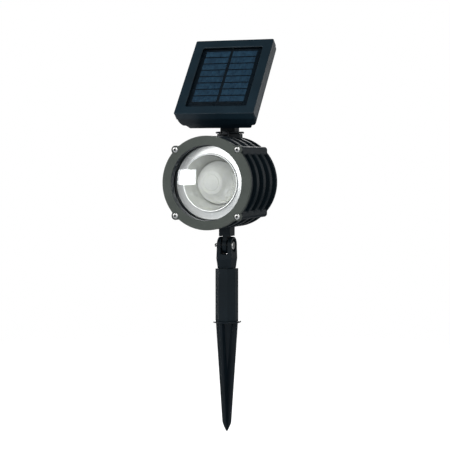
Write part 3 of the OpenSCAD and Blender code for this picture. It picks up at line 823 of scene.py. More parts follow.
def polar(name, stations, mat, k=2.2):
    """Solid about the lamp's axis. A station is (radius, y, lug radius), with lug radius 0 where there is none."""
    n = len(THETAS)
    verts, faces, idx = [], [], []
    for r, y, a in stations:
        if r < 1e-9:
            idx.append([len(verts)] * n)
            verts.append((0, y, LZ))
            continue
        idx.append(list(range(len(verts), len(verts) + n)))
        for t in THETAS:
            d = ((t - 45) + 45) % 90 - 45
            rr = smax(r, web(d, a), k) if a > 0 else (smax(r, post_out(d, -a - 1), 0.5) if a < 0 else r)
            verts.append((rr * math.cos(math.radians(t)), y, LZ + rr * math.sin(math.radians(t))))
    m = len(stations)
    for j in range(m):
        q = (j + 1) % m
        if stations[j][0] < 1e-9 and stations[q][0] < 1e-9:
            continue
        for i in range(n):
            e = (i + 1) % n
            f = []
            for v in (idx[j][i], idx[j][e], idx[q][e], idx[q][i]):
                if v not in f:
                    f.append(v)
            if len(f) > 2:
                faces.append(f)
    return raw(name, verts, faces, mat)


def arc_stations(r0, y0, r1, y1, a0, a1, n=4, convex=True):
    """Quarter round between two stations, bulging away from the corner's inside."""
    out = []
    for i in range(n + 1):
        t = math.pi / 2 * i / n
        if convex:
            fr, fy = math.sin(t), 1 - math.cos(t)
        else:
            fr, fy = 1 - math.cos(t), math.sin(t)
        out.append((r0 + (r1 - r0) * fr, y0 + (y1 - y0) * fy, a0 + (a1 - a0) * fr))
    return out


# ---- bezel ring: grey painted face, black inside the mouth
def make_bezel():
    e = 0.55
    st = [(37.6, -51.2, 0), (37.6, -58.75, 0), (37.75, -59.0, 0), (38.2, -59.0, 0)]
    for i in range(5):
        t = math.pi / 2 * i / 4
        st.append((47 - e + e * math.sin(t), -59 + e * (1 - math.cos(t)), 4.2 - e + e * math.sin(t)))
    st += [(47.0, -55.25, 4.2), (46.8, -55.02, 4.0), (39.5, -55.02, 0), (39.5, -51.4, 0), (39.3, -51.02, 0), (37.8, -51.02, 0)]
    o = polar("front_bezel_ring", st, "bezel_paint")
    o.data.materials.append(MATS["mouth_black"])
    for sx in (-1, 1):
        for sz in (-1, 1):
            cut = lathe("c", [(0, -60), (3.45, -60), (3.3, -58.9), (3.3, -57.7), (1.8, -57.7), (1.8, -54), (0, -54)],
                        "Y", (sx * 33, 0, LZ + sz * 33), 40, closed=False)
            # the Y lathe maps height to Y
            boolean(o, cut)
    bm = bmesh.new()
    bm.from_mesh(o.data)
    for f in bm.faces:
        c = f.calc_center_median()
        r = math.hypot(c.x, c.z - LZ * MM) / MM
        y = c.y / MM
        f.material_index = 1 if (r < 37.72 or (y > -54.9) or (r < 39.6 and y > -58)) else 0
    bm.to_mesh(o.data)
    bm.free()
    shade(o, 40)
    weighted(o)
    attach(o, "lamp_head")
    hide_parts("front_bezel")
    return o


# ---- housing: finned barrel, four screw lugs with their webs, pedestal, foot and tongue
def make_housing():
    A = 4.2
    e = 0.7
    st = [(39.7, -54.98, 0)]

    def up(y, r_from, r_to, a):          # fin's front edge, rounded
        return [(r_from, y, a)] + [(r_to - e + e * math.sin(math.pi / 2 * i / 4), y + e * (1 - math.cos(math.pi / 2 * i / 4)), a) for i in range(5)]

    def down(y, r_from, r_to, a):        # fin's back edge, rounded
        return [(r_from - e + e * math.cos(math.pi / 2 * i / 4), y - e + e * math.sin(math.pi / 2 * i / 4), a) for i in range(5)] + [(r_to, y, a)]

    # flange
    st += [(46.6, -54.98, 3.8), (46.88, -54.9, 4.08), (47.0, -54.7, A)]
    st += down(-51, 47, 42.4 + 0.4, A)
    P = -1
    st += [(42.7, -50.98, P), (42.4, -50.6, P), (42.4, -45.8, P), (42.0, -45.4, P)]
    for y0 in (-39, -19, 1):
        st += [(40.0, (-45.4 if y0 == -39 else y0 - 13) + 0.5, P), (40.0, y0 - 0.5, P), (40.15, y0 - 0.15, P)]
        st += up(y0, 40.5, 47, P)
        st += down(y0 + 7, 47, 40.5, P)
        st += [(40.15, y0 + 7.15, P)]
    st += [(40.0, 8.5, P), (40.0, 20.0, P), (40.15, 20.35, P)]
    st += up(20.5, 40.5, 47, P)
    # the posts' rounded ends
    el = 1.1
    for i in range(6):
        t = math.pi / 2 * i / 5
        st.append((47.0, 23.3 - el + el * math.sin(t), -(1 + el * (1 - math.cos(t)))))
    st.append((47.0, 23.31, 0))
    st += [(47 - 0.9 + 0.9 * math.cos(math.pi / 2 * i / 5), 24.3 - 0.9 + 0.9 * math.sin(math.pi / 2 * i / 5), 0) for i in range(6)]
    # dished back
    st += [(42.6, 24.3, 0), (42.2, 24.15, 0), (41.9, 23.75, 0), (41.5, 23.5, 0), (30, 23.35, 0), (0, 23.3, 0)]
    st += [(0, 20.5, 0), (36.4, 20.5, 0), (37.2, 19.7, 0), (37.2, -47.4, 0), (39.7, -47.4, 0)]
    # y never runs backwards along the outside
    o = polar("head_housing_casting", st, "black_plastic")

    # pedestal under the swivel disc, with a small foot fillet
    ped = lathe("ped", [(0, 182.9), (13.3, 182.9), (13.3, 194.75), (13.05, 195.15), (12.8, 195.2), (0, 195.2)], "Z", (0, SWY, 0), 96, "black_plastic", closed=False)
    boolean(o, ped, "UNION")
    # lock-screw lug
    lug = [(LOCK_X - 3.4, 183.5), (LOCK_X + 3.4, 183.5)] + arc(LOCK_X, 195.3, 3.4, 0, 180, 20)
    lp = plate("lug", [lug], 7.3, 9.8, 0.35, 2, "black_plastic")
    move(lp, XZ)
    boolean(o, lp, "UNION")
    # foot: a rounded block under the barrel, then the tongue
    foot = rrect(12.6, 15, 1.2, 5)
    fb = []
    for z, s in ((89.8, -0.15), (89.95, 0.0), (107.5, 0.0)):
        fb.append([(x * (1 + s / 6.3), y * (1 + s / 7.5), z) for x, y in foot])
    boolean(o, loft("foot", fb, "black_plastic"), "UNION")
    ton = arc(0, PZ, 8.5, 140, 400, 56) + [(6.5, 92.5), (-6.5, 92.5)]
    tp = plate("ton", [ton], -2.25, 2.25, 0.35, 2, "black_plastic")
    move(tp, YZ)
    boolean(o, tp, "UNION")
    # pad inside, under the swivel, then every bore
    boolean(o, lathe("pad", [(0, 180.6), (12, 180.6), (12, 186), (0, 186)], "Z", (0, SWY, 0), 64, "black_plastic", closed=False), "UNION")
    boolean(o, lathe("b", [(0, 160), (8.06, 160), (8.06, 194.8), (8.6, 195.4), (8.6, 200), (0, 200)], "Z", (0, SWY, 0), 64, closed=False))
    boolean(o, lathe("b", [(0, -13), (1.6, -13), (1.6, -5), (0, -5)], "Y", (LOCK_X, 0, 195.3), 32, closed=False))
    boolean(o, lathe("b", [(0, -10), (2.05, -10), (2.05, 10), (0, 10)], "X", (0, 0, PZ), 40, closed=False))
    for sx in (-1, 1):
        for sz in (-1, 1):
            boolean(o, lathe("b", [(0, -56), (1.65, -56), (1.65, -40), (0, -40)], "Y", (sx * 33, 0, LZ + sz * 33), 28, closed=False))
            post = lathe("p", [(0, -7.9), (3.4, -7.9), (3.4, 21), (0, 21)], "Y", (sx * 23, 0, LZ + sz * 23), 28, "black_plastic", closed=False)
            boolean(o, post, "UNION")
            boolean(o, lathe("b", [(0, -8.9), (1.45, -8.9), (1.45, 8), (0, 8)], "Y", (sx * 23, 0, LZ + sz * 23), 24, closed=False))
    shade(o, 38)
    weighted(o)
    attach(o, "lamp_head")
    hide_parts("head_housing")
    return o


# ---- glass, reflector and optic
def make_lens():
    prof = fillet([(0, -51), (38.6, -51), (38.9, -51), (39.5, -51), (39.5, -48.4), (38.9, -48.4), (38.6, -48.4), (0, -48.4)], [0, 0, 0, 0.35, 0.35, 0, 0, 0], 4, closed=False)
    o = lathe("front_lens_pane", prof, "Y", (0, 0, LZ), 128, "lens_glass", closed=False)
    return put(o, "lamp_head", ["front_lens"], angle=35)


def bowl_r(s):
    return 27.9 - 5.5 * (0.6 * s + 0.4 * s * s)


def make_reflector():
    # outer lip, sloping rim, a bead at the bowl's mouth, then the bowl and its floor
    front = [(36.9, -45.6), (35.7, -45.6), (29.4, -46.1), (29.2, -47.6), (28.75, -48.2), (28.1, -48.15)]
    bowl = [(bowl_r(i / 28), -47.6 + 24.6 * i / 28) for i in range(29)]
    neck = [(22.4, -21.6), (17.2, -21.6), (17.2, -10.35), (18.6, -10.35), (18.6, -20.2), (23.8, -20.2)]
    back = [(bowl_r(i / 28) + 1.5, -47.6 + 24.6 * i / 28 + 1.3) for i in range(28, 1, -1)]
    prof = front + bowl + neck + back + [(30.2, -45.3), (36.9, -43.8)]
    rad = [0.2, 0.3, 0.35, 0.3, 0.3, 0.25] + [0.3] + [0] * 27 + [0.5] + [0.4, 0.3, 0.2, 0.2, 0.3, 0.3] + [0.3] + [0] * 26 + [0.3, 0.3]
    prof = fillet(prof, rad, 4)
    o = lathe("reflector_cup", prof, "Y", (0, 0, LZ), 192, "reflector_chrome")
    # the plated rim is satin, the bowl is brighter
    o.data.materials.append(MATS["reflector_rim"])
    for f in o.data.polygons:
        c = f.center / MM
        if math.hypot(c.x, c.z - LZ) > 28.4 and c.y < -45:
            f.material_index = 1
    return put(o, "lamp_head", ["reflector"], angle=50)


def make_optic():
    # domed condenser with ringed steps round a flat crown
    pts = [(0, -45.4), (2.4, -45.35), (4.6, -45.05), (7.6, -44.65), (8.5, -43.95), (9.3, -44.25), (11.7, -43.5), (12.6, -42.6), (14.6, -40.6),
           (16.6, -37.6), (18.6, -34.0), (20.2, -30.0), (21.3, -26.4), (21.85, -23.5),
           (21.85, -21.85), (15.9, -21.85), (14.6, -11.95), (13.2, -11.95), (11, -16.6), (5.2, -16.6), (4.4, -17.6), (0, -17.8)]
    rad = [0] + [0.8, 0.8, 0.5, 0.4, 0.5, 0.5, 0.6, 1.5, 2.0, 2.0, 2.0, 2.0, 0.8] + [0.3, 0.3, 0.2, 0.2, 0.5, 0.4, 0.4, 0]
    prof = fillet(pts, rad, 4, closed=False)
    o = lathe("led_optic_part", prof, "Y", (0, 0, LZ), 128, "frosted_optic", closed=False)
    return put(o, "lamp_head", ["led_optic"], angle=45)


def make_bezel_screws():
    parts = []
    for i, (sx, sz) in enumerate(((-1, -1), (-1, 1), (1, -1), (1, 1))):
        s = head_screw("s", 3.1, 2.0, 1.6, 16, "cross", "steel_screw", turn=(20, 52, 8, 33)[i], wide=0.24)
        m = at(sx * 33, -57.7, LZ + sz * 33) @ Matrix.Rotation(math.radians(90), 4, "X")
        move(s, m)
        parts.append(s)
    o = join(parts, "bezel_screw_set")
    return put(o, "lamp_head", ["bezel_screws"], angle=40)


def make_lock_screw():
    s = head_screw("swivel_lock_screw_part", 2.5, 1.6, 1.5, 2.45, "cross", "black_oxide", turn=45)
    move(s, at(LOCK_X, -9.8, 195.3) @ Matrix.Rotation(math.radians(90), 4, "X"))
    return put(s, "lamp_head", ["swivel_lock_screw"], angle=40)


# ================================================================ panel, built in its own frame (z out of the face)
def rr3(w, l, r, z, n=8, cx=0.0, cy=0.0):
    return [(x, y, z) for x, y in rrect(w, l, r, n, cx, cy)]


def ring_loft(name, sts, mat):
    """Closed ring of rounded rectangles: (w, l, r, z)."""
    loops = [rr3(w, l, max(r, 0.05), z) for w, l, r, z in sts]
    n = len(loops[0])
    v = [p for lp in loops for p in lp]
    f = []
    for j in range(len(loops)):
        q = (j + 1) % len(loops)
        for i in range(n):
            k = (i + 1) % n
            f.append([j * n + i, j * n + k, q * n + k, q * n + i])
    return raw(name, v, f, mat)


def make_panel_bezel():
    W, L, R = 86.0, 101.0, 1.6
    w, l, r = 66.0, 80.6, 2.2
    sts = [(W - 0.3, L - 0.3, R, -9.0), (W, L, R, -8.85), (W, L, R, -0.5)]
    e = 0.5
    for i in range(1, 6):
        t = math.pi / 2 * i / 5
        d = e * (1 - math.cos(t))
        sts.append((W - 2 * d, L - 2 * d, R - 0.4 * d, -e + e * math.sin(t)))
    # the face falls very slightly towards the window, then rounds into it
    e2 = 0.7
    sts.append((w + 2 * e2 + 1.0, l + 2 * e2 + 1.0, r + e2, -0.03))
    for i in range(6):
        t = math.pi / 2 * i / 5
        d = e2 * (1 - math.sin(t))
        sts.append((w + 2 * d, l + 2 * d, r + d, -0.05 - e2 * (1 - math.cos(t))))
    sts += [(w, l, r, -1.2), (W - 4.8, L - 4.8, 2.6, -1.2), (W - 4.4, L - 4.4, 2.8, -1.6), (W - 4.4, L - 4.4, 2.8, -8.8), (W - 4.1, L - 4.1, 2.9, -9.0)]
    o = ring_loft("panel_bezel_frame", sts, "panel_plastic")
    for sx in (-1, 1):
        for sy in (-1, 1):
            x, y = sx * 37.6, sy * 45.1
            boss = lathe("b", [(0, -9), (2.8, -9), (2.8, -0.9), (0, -0.9)], "Z", (x, y, 0), 28, "panel_plastic", closed=False)
            boolean(o, boss, "UNION")
            boolean(o, lathe("b", [(0, -10), (1.45, -10), (1.45, -2.8), (0, -2.8)], "Z", (x, y, 0), 24, closed=False))
    move(o, PANEL)
    shade(o, 40)
    weighted(o)
    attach(o, "panel")
    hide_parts("panel_bezel")
    return o


def slab(name, w, l, r, z0, z1, e, mat, n=6, cx=0.0, cy=0.0):
    """Rounded plate in the panel's frame with softened edges."""
    loops = []
    for d, z in ((e, z0), (e * 0.3, z0 + e * 0.3), (0, z0 + e), (0, z1 - e), (e * 0.3, z1 - e * 0.3), (e, z1)):
        loops.append(rr3(w - 2 * d, l - 2 * d, max(r - d, 0.02), z, n, cx, cy))
    return loft(name, loops, mat)


def make_window():
    o = slab("panel_window_pane", 68.4, 83.4, 1.5, -2.8, -1.2, 0.15, "pane")
    move(o, PANEL)
    return put(o, "panel", ["panel_window"], angle=30)


def make_solar():
    b = slab("solar_board_part", 68, 83, 1.2, -4.7, -3.1, 0.12, "solar_backing")
    move(b, PANEL)
    put(b, "panel", ["solar_board"], angle=30)
    cells = []
    for i in range(8):
        for x0 in (-28.0, 1.5):
            cells.append(slab("c", 26.5, 7.9, 0.25, -3.1, -2.82, 0.06, "solar_blue", 2, x0 - 0.6 + 13.25, -32.45 + i * 8.8 + 3.95))
    o = join(cells, "solar_cell_strips")
    move(o, PANEL)
    put(o, "panel", ["solar_cells"], angle=30)


def make_rear_shell():
    hw, hl = 42.6, 50.1

    def sec(inset, d, r=None, k=0.0, soft=0.0):
        y = hl - 1.2 * max(0.0, (d - 17) / 8) - k - soft
        x = hw - inset - k - soft
        return (2 * x, 2 * y, max(1.9 - 0.08 * max(0.0, d - 12) - k if r is None else r, 0.7), -d)

    sts = [sec(0.15, 9.05), sec(0, 9.2), sec(0, 11.2), sec(0.04, 12.2), sec(0.2, 13.2), sec(0.5, 14.2), sec(1.0, 15.5), sec(1.6, 16.8),
           sec(2.35, 18.1), sec(2.95, 19.0), sec(3.2, 19.33), sec(3.6, 19.4), sec(4.4, 19.3), sec(5.6, 19.15), sec(5.95, 19.2), sec(6.1, 19.5),
           sec(6.7, 20.5), sec(7.8, 22.4), sec(8.7, 24.1), sec(8.95, 24.5, soft=0.05), sec(9.2, 24.8, soft=0.15), sec(9.45, 25.0, soft=0.4)]
    loops = [rr3(w_, l_, r_, z_, 8) for w_, l_, r_, z_ in sts]
    o = loft("rear_shell_moulding", loops, "panel_plastic")
    cav = []
    for inset, d in ((0, 8.0), (0, 10), (0.5, 12.2), (1.6, 14.8), (3.0, 17.25), (5.9, 17.3), (8.5, 21.8), (8.9, 22.0)):
        w_, l_, r_, z_ = sec(inset, d, 1.0, 2.2)
        cav.append(rr3(w_, l_, r_, z_, 8))
    boolean(o, loft("cav", cav))
    # seat of the gasket
    boolean(o, ring_like([rr3(84.6, 99.6, 2.7, z, 8) for z in (-8.5, -9.8)], [rr3(82.4, 97.4, 1.6, z, 8) for z in (-8.5, -9.8)]))
    # columns of the casing screws, trimmed to the outer form
    form = []
    for inset, d in ((0.1, 9.0), (0.1, 12), (0.6, 14.2), (1.7, 16.8), (3.25, 19.2), (6.1, 19.6), (9.2, 24.7)):
        w_, l_, r_, z_ = sec(inset, d, k=0.05)
        form.append(rr3(w_, l_, r_, z_, 8))
    for sx in (-1, 1):
        for sy in (-1, 1):
            c = lathe("c", [(0, -22.5), (4.2, -22.5), (4.2, -9.1), (0, -9.1)], "Z", (sx * 37.6, sy * 45.1, 0), 36, "panel_plastic", closed=False)
            f = loft("form", form, "panel_plastic")
            boolean(c, f, "INTERSECT")
            boolean(o, c, "UNION")
    # hinge lugs
    for x in (-12.3, 8.3):
        pts = [(LUG_V - 9.5, -24.2), (LUG_V - 7.0, LUG_D + 0.6)] + arc(LUG_V, LUG_D, 7, 180, 360, 28) + [(LUG_V + 7.0, LUG_D + 0.6), (LUG_V + 9.5, -24.2)]
        p = plate("l", [pts], 0, 4, 0.5, 3, "panel_plastic")
        # local x -> panel y, local y -> panel z, local z -> panel x
        move(p, at(x, 0, 0) @ YZ)
        boolean(o, p, "UNION")
    # collar of the button, inside
    col = lathe("c", [(8.6, -22.2), (8.6, -18.9), (7, -18.9), (7, -22.2)], "Z", (22, -36, 0), 40, "panel_plastic")
    boolean(o, col, "UNION")
    for x, y, r0, z1 in ((-26, 42.8, 2.6, -14), (26, 42.8, 2.6, -14), (-27, -43, 2.4, -9.8), (0, -43, 2.4, -9.8)):
        boolean(o, lathe("c", [(0, -22.3), (r0, -22.3), (r0, z1), (0, z1)], "Z", (x, y, 0), 28, "panel_plastic", closed=False), "UNION")
    for sx in (-1, 1):
        for sy in (-1, 1):
            x, y = sx * 37.6, sy * 45.1
            boolean(o, lathe("b", [(0, -20), (1.6, -20), (1.6, -8), (0, -8)], "Z", (x, y, 0), 24, closed=False))
            boolean(o, lathe("b", [(0, -30), (3.1, -30), (3.1, -14.1), (2.8, -14), (0, -14)], "Z", (x, y, 0), 32, closed=False))
    # battery door's recess and opening, with rounded corners
    boolean(o, prism("b", rrect(62.4, 53.2, 2.2, 6, 0, 19.2), -30, -23.2))
    boolean(o, prism("b", rrect(56, 44.6, 1.5, 5, 0, 16.5), -30, -15))
    for x in (-26, 26):
        boolean(o, lathe("b", [(0, -30), (1.2, -30), (1.2, -15), (0, -15)], "Z", (x, 42.8, 0), 20, closed=False))
    boolean(o, lathe("b", [(0, -30), (5.8, -30), (5.8, -25.0), (5.3, -24.5), (5.3, -15), (0, -15)], "Z", (22, -36, 0), 48, closed=False))
    boolean(o, lathe("b", [(0, -30), (3.2, -30), (3.2, -20), (0, -20)], "Z", (0, LUG_V, 0), 32, closed=False))
    boolean(o, lathe("b", [(0, -20), (2.55, -20), (2.55, 20), (0, 20)], "X", (0, LUG_V, LUG_D), 36, closed=False))
    move(o, PANEL)
    shade(o, 38)
    weighted(o)
    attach(o, "panel")
    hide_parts("rear_shell")
    return o


def make_battery_door():
    o = slab("battery_door_part", 62, 52.8, 2, -25, -23.2, 0.45, "panel_plastic", 8, 0, 19.2)
    for x in (-26, 26):
        boolean(o, lathe("b", [(0, -30), (2.7, -30), (2.5, -24.8), (2.5, -23.9), (1.35, -23.9), (1.35, -20), (0, -20)], "Z", (x, 42.8, 0), 32, closed=False))
    g = [rr3(59.8, 47.6, 3, z, 8, 0, 16.5) for z in (-24.2, -23)]
    ring = ring_like(g, [rr3(57.6, 45.4, 2, z, 8, 0, 16.5) for z in (-24.2, -23)])
    boolean(o, ring)
    for i in range(4):
        c = loft("g", [[(x, y, z) for x, y in rrect(24 - 2 * k, 1.1 - 2 * k, 0.5, 5, 0, 2.55 + i * 2.4)] for z, k in ((-24.5, 0.3), (-24.65, 0.08), (-25.0, 0.0), (-25.4, -0.1))])
        boolean(o, c)
    move(o, PANEL)
    shade(o, 40)
    weighted(o)
    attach(o, "panel")
    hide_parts("battery_door")
    return o


def ring_like(outer, inner):
    """Closed ring between matching outer and inner loops at two heights."""
    n = len(outer[0])
    seq = [outer[0], outer[1], inner[1], inner[0]]
    v = [p for lp in seq for p in lp]
    f = []
    for j in range(4):
        q = (j + 1) % 4
        for i in range(n):
            k = (i + 1) % n
            f.append([j * n + i, j * n + k, q * n + k, q * n + i])
    return raw("ring", v, f)


def make_panel_screws():
    parts = []
    for i, (x, y) in enumerate(((-37.6, -45.1), (-37.6, 45.1), (37.6, -45.1), (37.6, 45.1))):
        s = head_screw("s", 2.8, 2, 1.4, 10.4, "cross", "steel_screw", turn=10 + 27 * i)
        move(s, PANEL @ at(x, y, -14) @ Matrix.Rotation(math.pi, 4, "X"))
        parts.append(s)
    put(join(parts, "panel_screw_set"), "panel", ["panel_screws"], angle=40)
    parts = []
    for i, x in enumerate((-26, 26)):
        s = head_screw("s", 2.3, 1.0, 1.15, 8, "cross", "steel_screw", turn=20 + 40 * i)
        move(s, PANEL @ at(x, 42.8, -23.9) @ Matrix.Rotation(math.pi, 4, "X"))
        parts.append(s)
    put(join(parts, "door_screw_set"), "panel", ["door_screws"], angle=40)


def make_button():
    pts = [(0, -26.55), (1.6, -26.6), (3.4, -26.8), (4.2, -26.8), (5, -26.0), (5, -21.8), (6.4, -21.8), (6.4, -20.9), (2.2, -20.9), (2.2, -20.6), (0, -20.6)]
    o = lathe("power_button_cap", fillet(pts, [0, 0.5, 0.4, 0.5, 0.5, 0.1, 0.2, 0.2, 0.1, 0.1, 0], 4, closed=False), "Z", (22, -36, 0), 64, "button_plastic", closed=False)
    move(o, PANEL)
    return put(o, "button", ["power_button"], angle=45)


def make_grommet():
    pts = [(1.45, -26.4), (2.6, -26.4), (4.6, -25.4), (4.6, -25.02), (3.2, -25.0), (3.2, -22), (4.4, -22), (4.4, -21), (1.45, -21)]
    o = lathe("cable_grommet_part", fillet(pts, 0.25, 3), "Z", (0, LUG_V, 0), 48, "rubber_black")
    move(o, PANEL)
    return put(o, "panel", ["cable_grommet"], angle=45)


# ================================================================ swivel
def make_yoke():
    disc = fillet([(0, 195.5), (14.8, 195.5), (14.8, 197.5), (0, 197.5)], [0, 0.6, 0.6, 0], 5, closed=False)
    o = lathe("swivel_yoke_part", disc, "Z", (0, SWY, 0), 96, "black_plastic", closed=False)
    sp = fillet([(0, 178), (8, 178), (8, 196), (0, 196)], [0, 0.5, 0, 0], 3, closed=False)
    boolean(o, lathe("s", sp, "Z", (0, SWY, 0), 64, "black_plastic", closed=False), "UNION")
    pts = [(SWY - 7, 196.4), (SWY + 7, 196.4), (SWY + 7, TZ)] + arc(SWY, TZ, 7, 0, 180, 36)[1:-1] + [(SWY - 7, TZ)]
    k = plate("k", [pts], -8, 8, 0.5, 3, "black_plastic")
    move(k, YZ)
    boolean(o, k, "UNION")
    boolean(o, lathe("b", [(0, 170), (3, 170), (3, 207.5), (0, 207.5)], "Z", (0, SWY, 0), 40, closed=False))
    boolean(o, prism("b", [(-3, SWY - 12), (3, SWY - 12), (3, SWY + 12), (-3, SWY + 12)], 207, 237))
    for g0, g1, r in ((179.0, 180.3, 6.6), (189.9, 192.1, 6.0)):
        boolean(o, ring_turn("g", r, 12, g0, g1, (0, SWY, 0)))
    boolean(o, lathe("b", [(0, -20), (2.56, -20), (2.56, 20), (0, 20)], "X", (0, SWY, TZ), 36, closed=False))
    shade(o, 38)
    weighted(o)
    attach(o, "swivel")
    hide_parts("swivel_yoke")
    return o


def ring_turn(name, r0, r1, z0, z1, p):
    return lathe(name, [(r0, z0), (r1, z0), (r1, z1), (r0, z1)], "Z", p, 64)


# a bolt along +X with a rounded head, hex socket and rolled thread end
def make_bolt(name, node, body, x0, xh, x1, r, rh, y, z, sock):
    prof = [(0, x0), (r - 0.45, x0), (r, x0 + 0.5)]
    # a few thread rolls on the free end
    t = x0 + 0.6
    while t < x0 + 4.4:
        prof += [(r - 0.28, t + 0.35), (r, t + 0.7)]
        t += 0.7
    prof += [(r, xh), (rh - 0.3, xh), (rh, xh + 0.3), (rh, x1 - (x1 - xh) * 0.45), (rh * 0.93, x1 - (x1 - xh) * 0.18), (rh * 0.8, x1), (0, x1)]
    o = lathe(name, prof, "X", (0, y, z), 64, "steel", closed=False)
    c = lathe("h", [(0, x1 - sock[1]), (sock[0] / 2 / math.cos(math.pi / 6), x1 - sock[1]), (sock[0] / 2 / math.cos(math.pi / 6), x1 + 1), (0, x1 + 1)], "X", (0, y, z), 6, closed=False)
    boolean(o, c)
    return put(o, body, [node], angle=35)


def make_nut(name, node, body, x0, x1, af, r, y, z):
    R = af / 2 / math.cos(math.pi / 6)
    loops = []
    hexa = [(R * math.cos(math.radians(60 * i)), R * math.sin(math.radians(60 * i))) for i in range(6)]
    dense = []
    for i in range(6):
        a, b = hexa[i], hexa[(i + 1) % 6]
        for k in range(8):
            dense.append((a[0] + (b[0] - a[0]) * k / 8, a[1] + (b[1] - a[1]) * k / 8))
    def ch(lim):
        out = []
        for p, q in dense:
            m = math.hypot(p, q)
            s = min(1.0, lim / m)
            out.append((p * s, q * s))
        return out
    h = 0.45
    for x, lim in ((x0, af / 2 * 1.0), (x0 + h, R), (x1 - h, R), (x1, af / 2 * 1.0)):
        loops.append([(x, y + p, z + q) for p, q in ch(lim)])
    o = loft(name, loops, "steel")
    boolean(o, lathe("b", [(0, x0 - 1), (r + 0.4, x0 - 1), (r + 0.4, x0), (r, x0 + 0.4), (r, x1 - 0.4), (r + 0.4, x1), (r + 0.4, x1 + 1), (0, x1 + 1)], "X", (0, y, z), 40, closed=False))
    return put(o, body, [node], angle=30)


# ================================================================ stake
def make_post():
    """Octagonal post with softened corners and an open top."""
    af = 22.0
    R = af / 2 / math.cos(math.pi / 8)
    octo = [(R * math.cos(math.radians(45 * i + 22.5)), R * math.sin(math.radians(45 * i + 22.5))) for i in range(8)]
    out = fillet(octo, 1.0, 5)
    o = None
    loops = []
    for z, k in ((1.62, 0.35), (1.75, 0.12), (2.1, 0), (55.6, 0), (56.0, 0.12), (56.2, 0.35), (56.3, 0.7)):
        s = 1 - k / 11
        loops.append([(x * s, y * s, z) for x, y in out])
    o = loft("post_tube_part", loops, "post_plastic")
    boolean(o, lathe("b", [(0, 0), (9, 0), (9, 55.7), (9.15, 56.0), (9.5, 56.4), (9.5, 58), (0, 58)], "Z", (0, 0, 0), 72, closed=False))
    shade(o, 30)
    weighted(o)
    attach(o, "stake")
    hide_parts("post_tube")
    return o


def make_spike():
    turn = math.radians(-11)
    flange = fillet([(0, 0), (14.7, 0), (14.7, 1.6), (0, 1.6)], [0, 0.75, 0.75, 0], 5, closed=False)
    o = lathe("ground_spike_part", flange, "Z", (0, 0, 0), 96, "spike_plastic", closed=False)
    # crossed ribs with rounded edges, drawn in to the point
    for a in (0, 90):
        loops = []
        for z, hw, t in ((0.45, 12.8, 3.2), (-4, 12.5, 3.2), (-30, 10.54, 3.2), (-60, 8.28, 3.15), (-90, 6.02, 3.1), (-103, 5.04, 3.0),
                         (-104.6, 4.86, 2.96), (-106, 4.45, 2.9), (-108, 3.6, 2.7), (-110.5, 2.42, 2.2), (-112.5, 1.45, 1.6), (-113.6, 0.85, 1.1), (-114, 0.35, 0.5)):
            loops.append(rr3(2 * hw, t, min(0.75, t * 0.42), z, 4))
        p = loft("r", loops, "spike_plastic")
        p.data.transform(Matrix.Rotation(turn + math.radians(a), 4, "Z"))
        boolean(o, p, "UNION")
    # tapering core that runs out down the spike, with a flare under the flange
    core = [(0, 0.5), (9.6, 0.5), (8.4, -1.2), (7.7, -3.6), (7.2, -6), (1.5, -55), (0.9, -56), (0, -56)]
    boolean(o, lathe("c", core, "Z", (0, 0, 0), 64, "spike_plastic", closed=False), "UNION")
    plug = [(0, 1.0), (8.9, 1.0), (8.9, 25.0), (8.5, 25.58), (6.9, 25.58), (6.6, 25.2), (6.6, 3.6), (0, 3.6)]
    boolean(o, lathe("c", plug, "Z", (0, 0, 0), 64, "spike_plastic", closed=False), "UNION")
    shade(o, 34)
    weighted(o)
    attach(o, "stake")
    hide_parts("ground_spike")
    return o


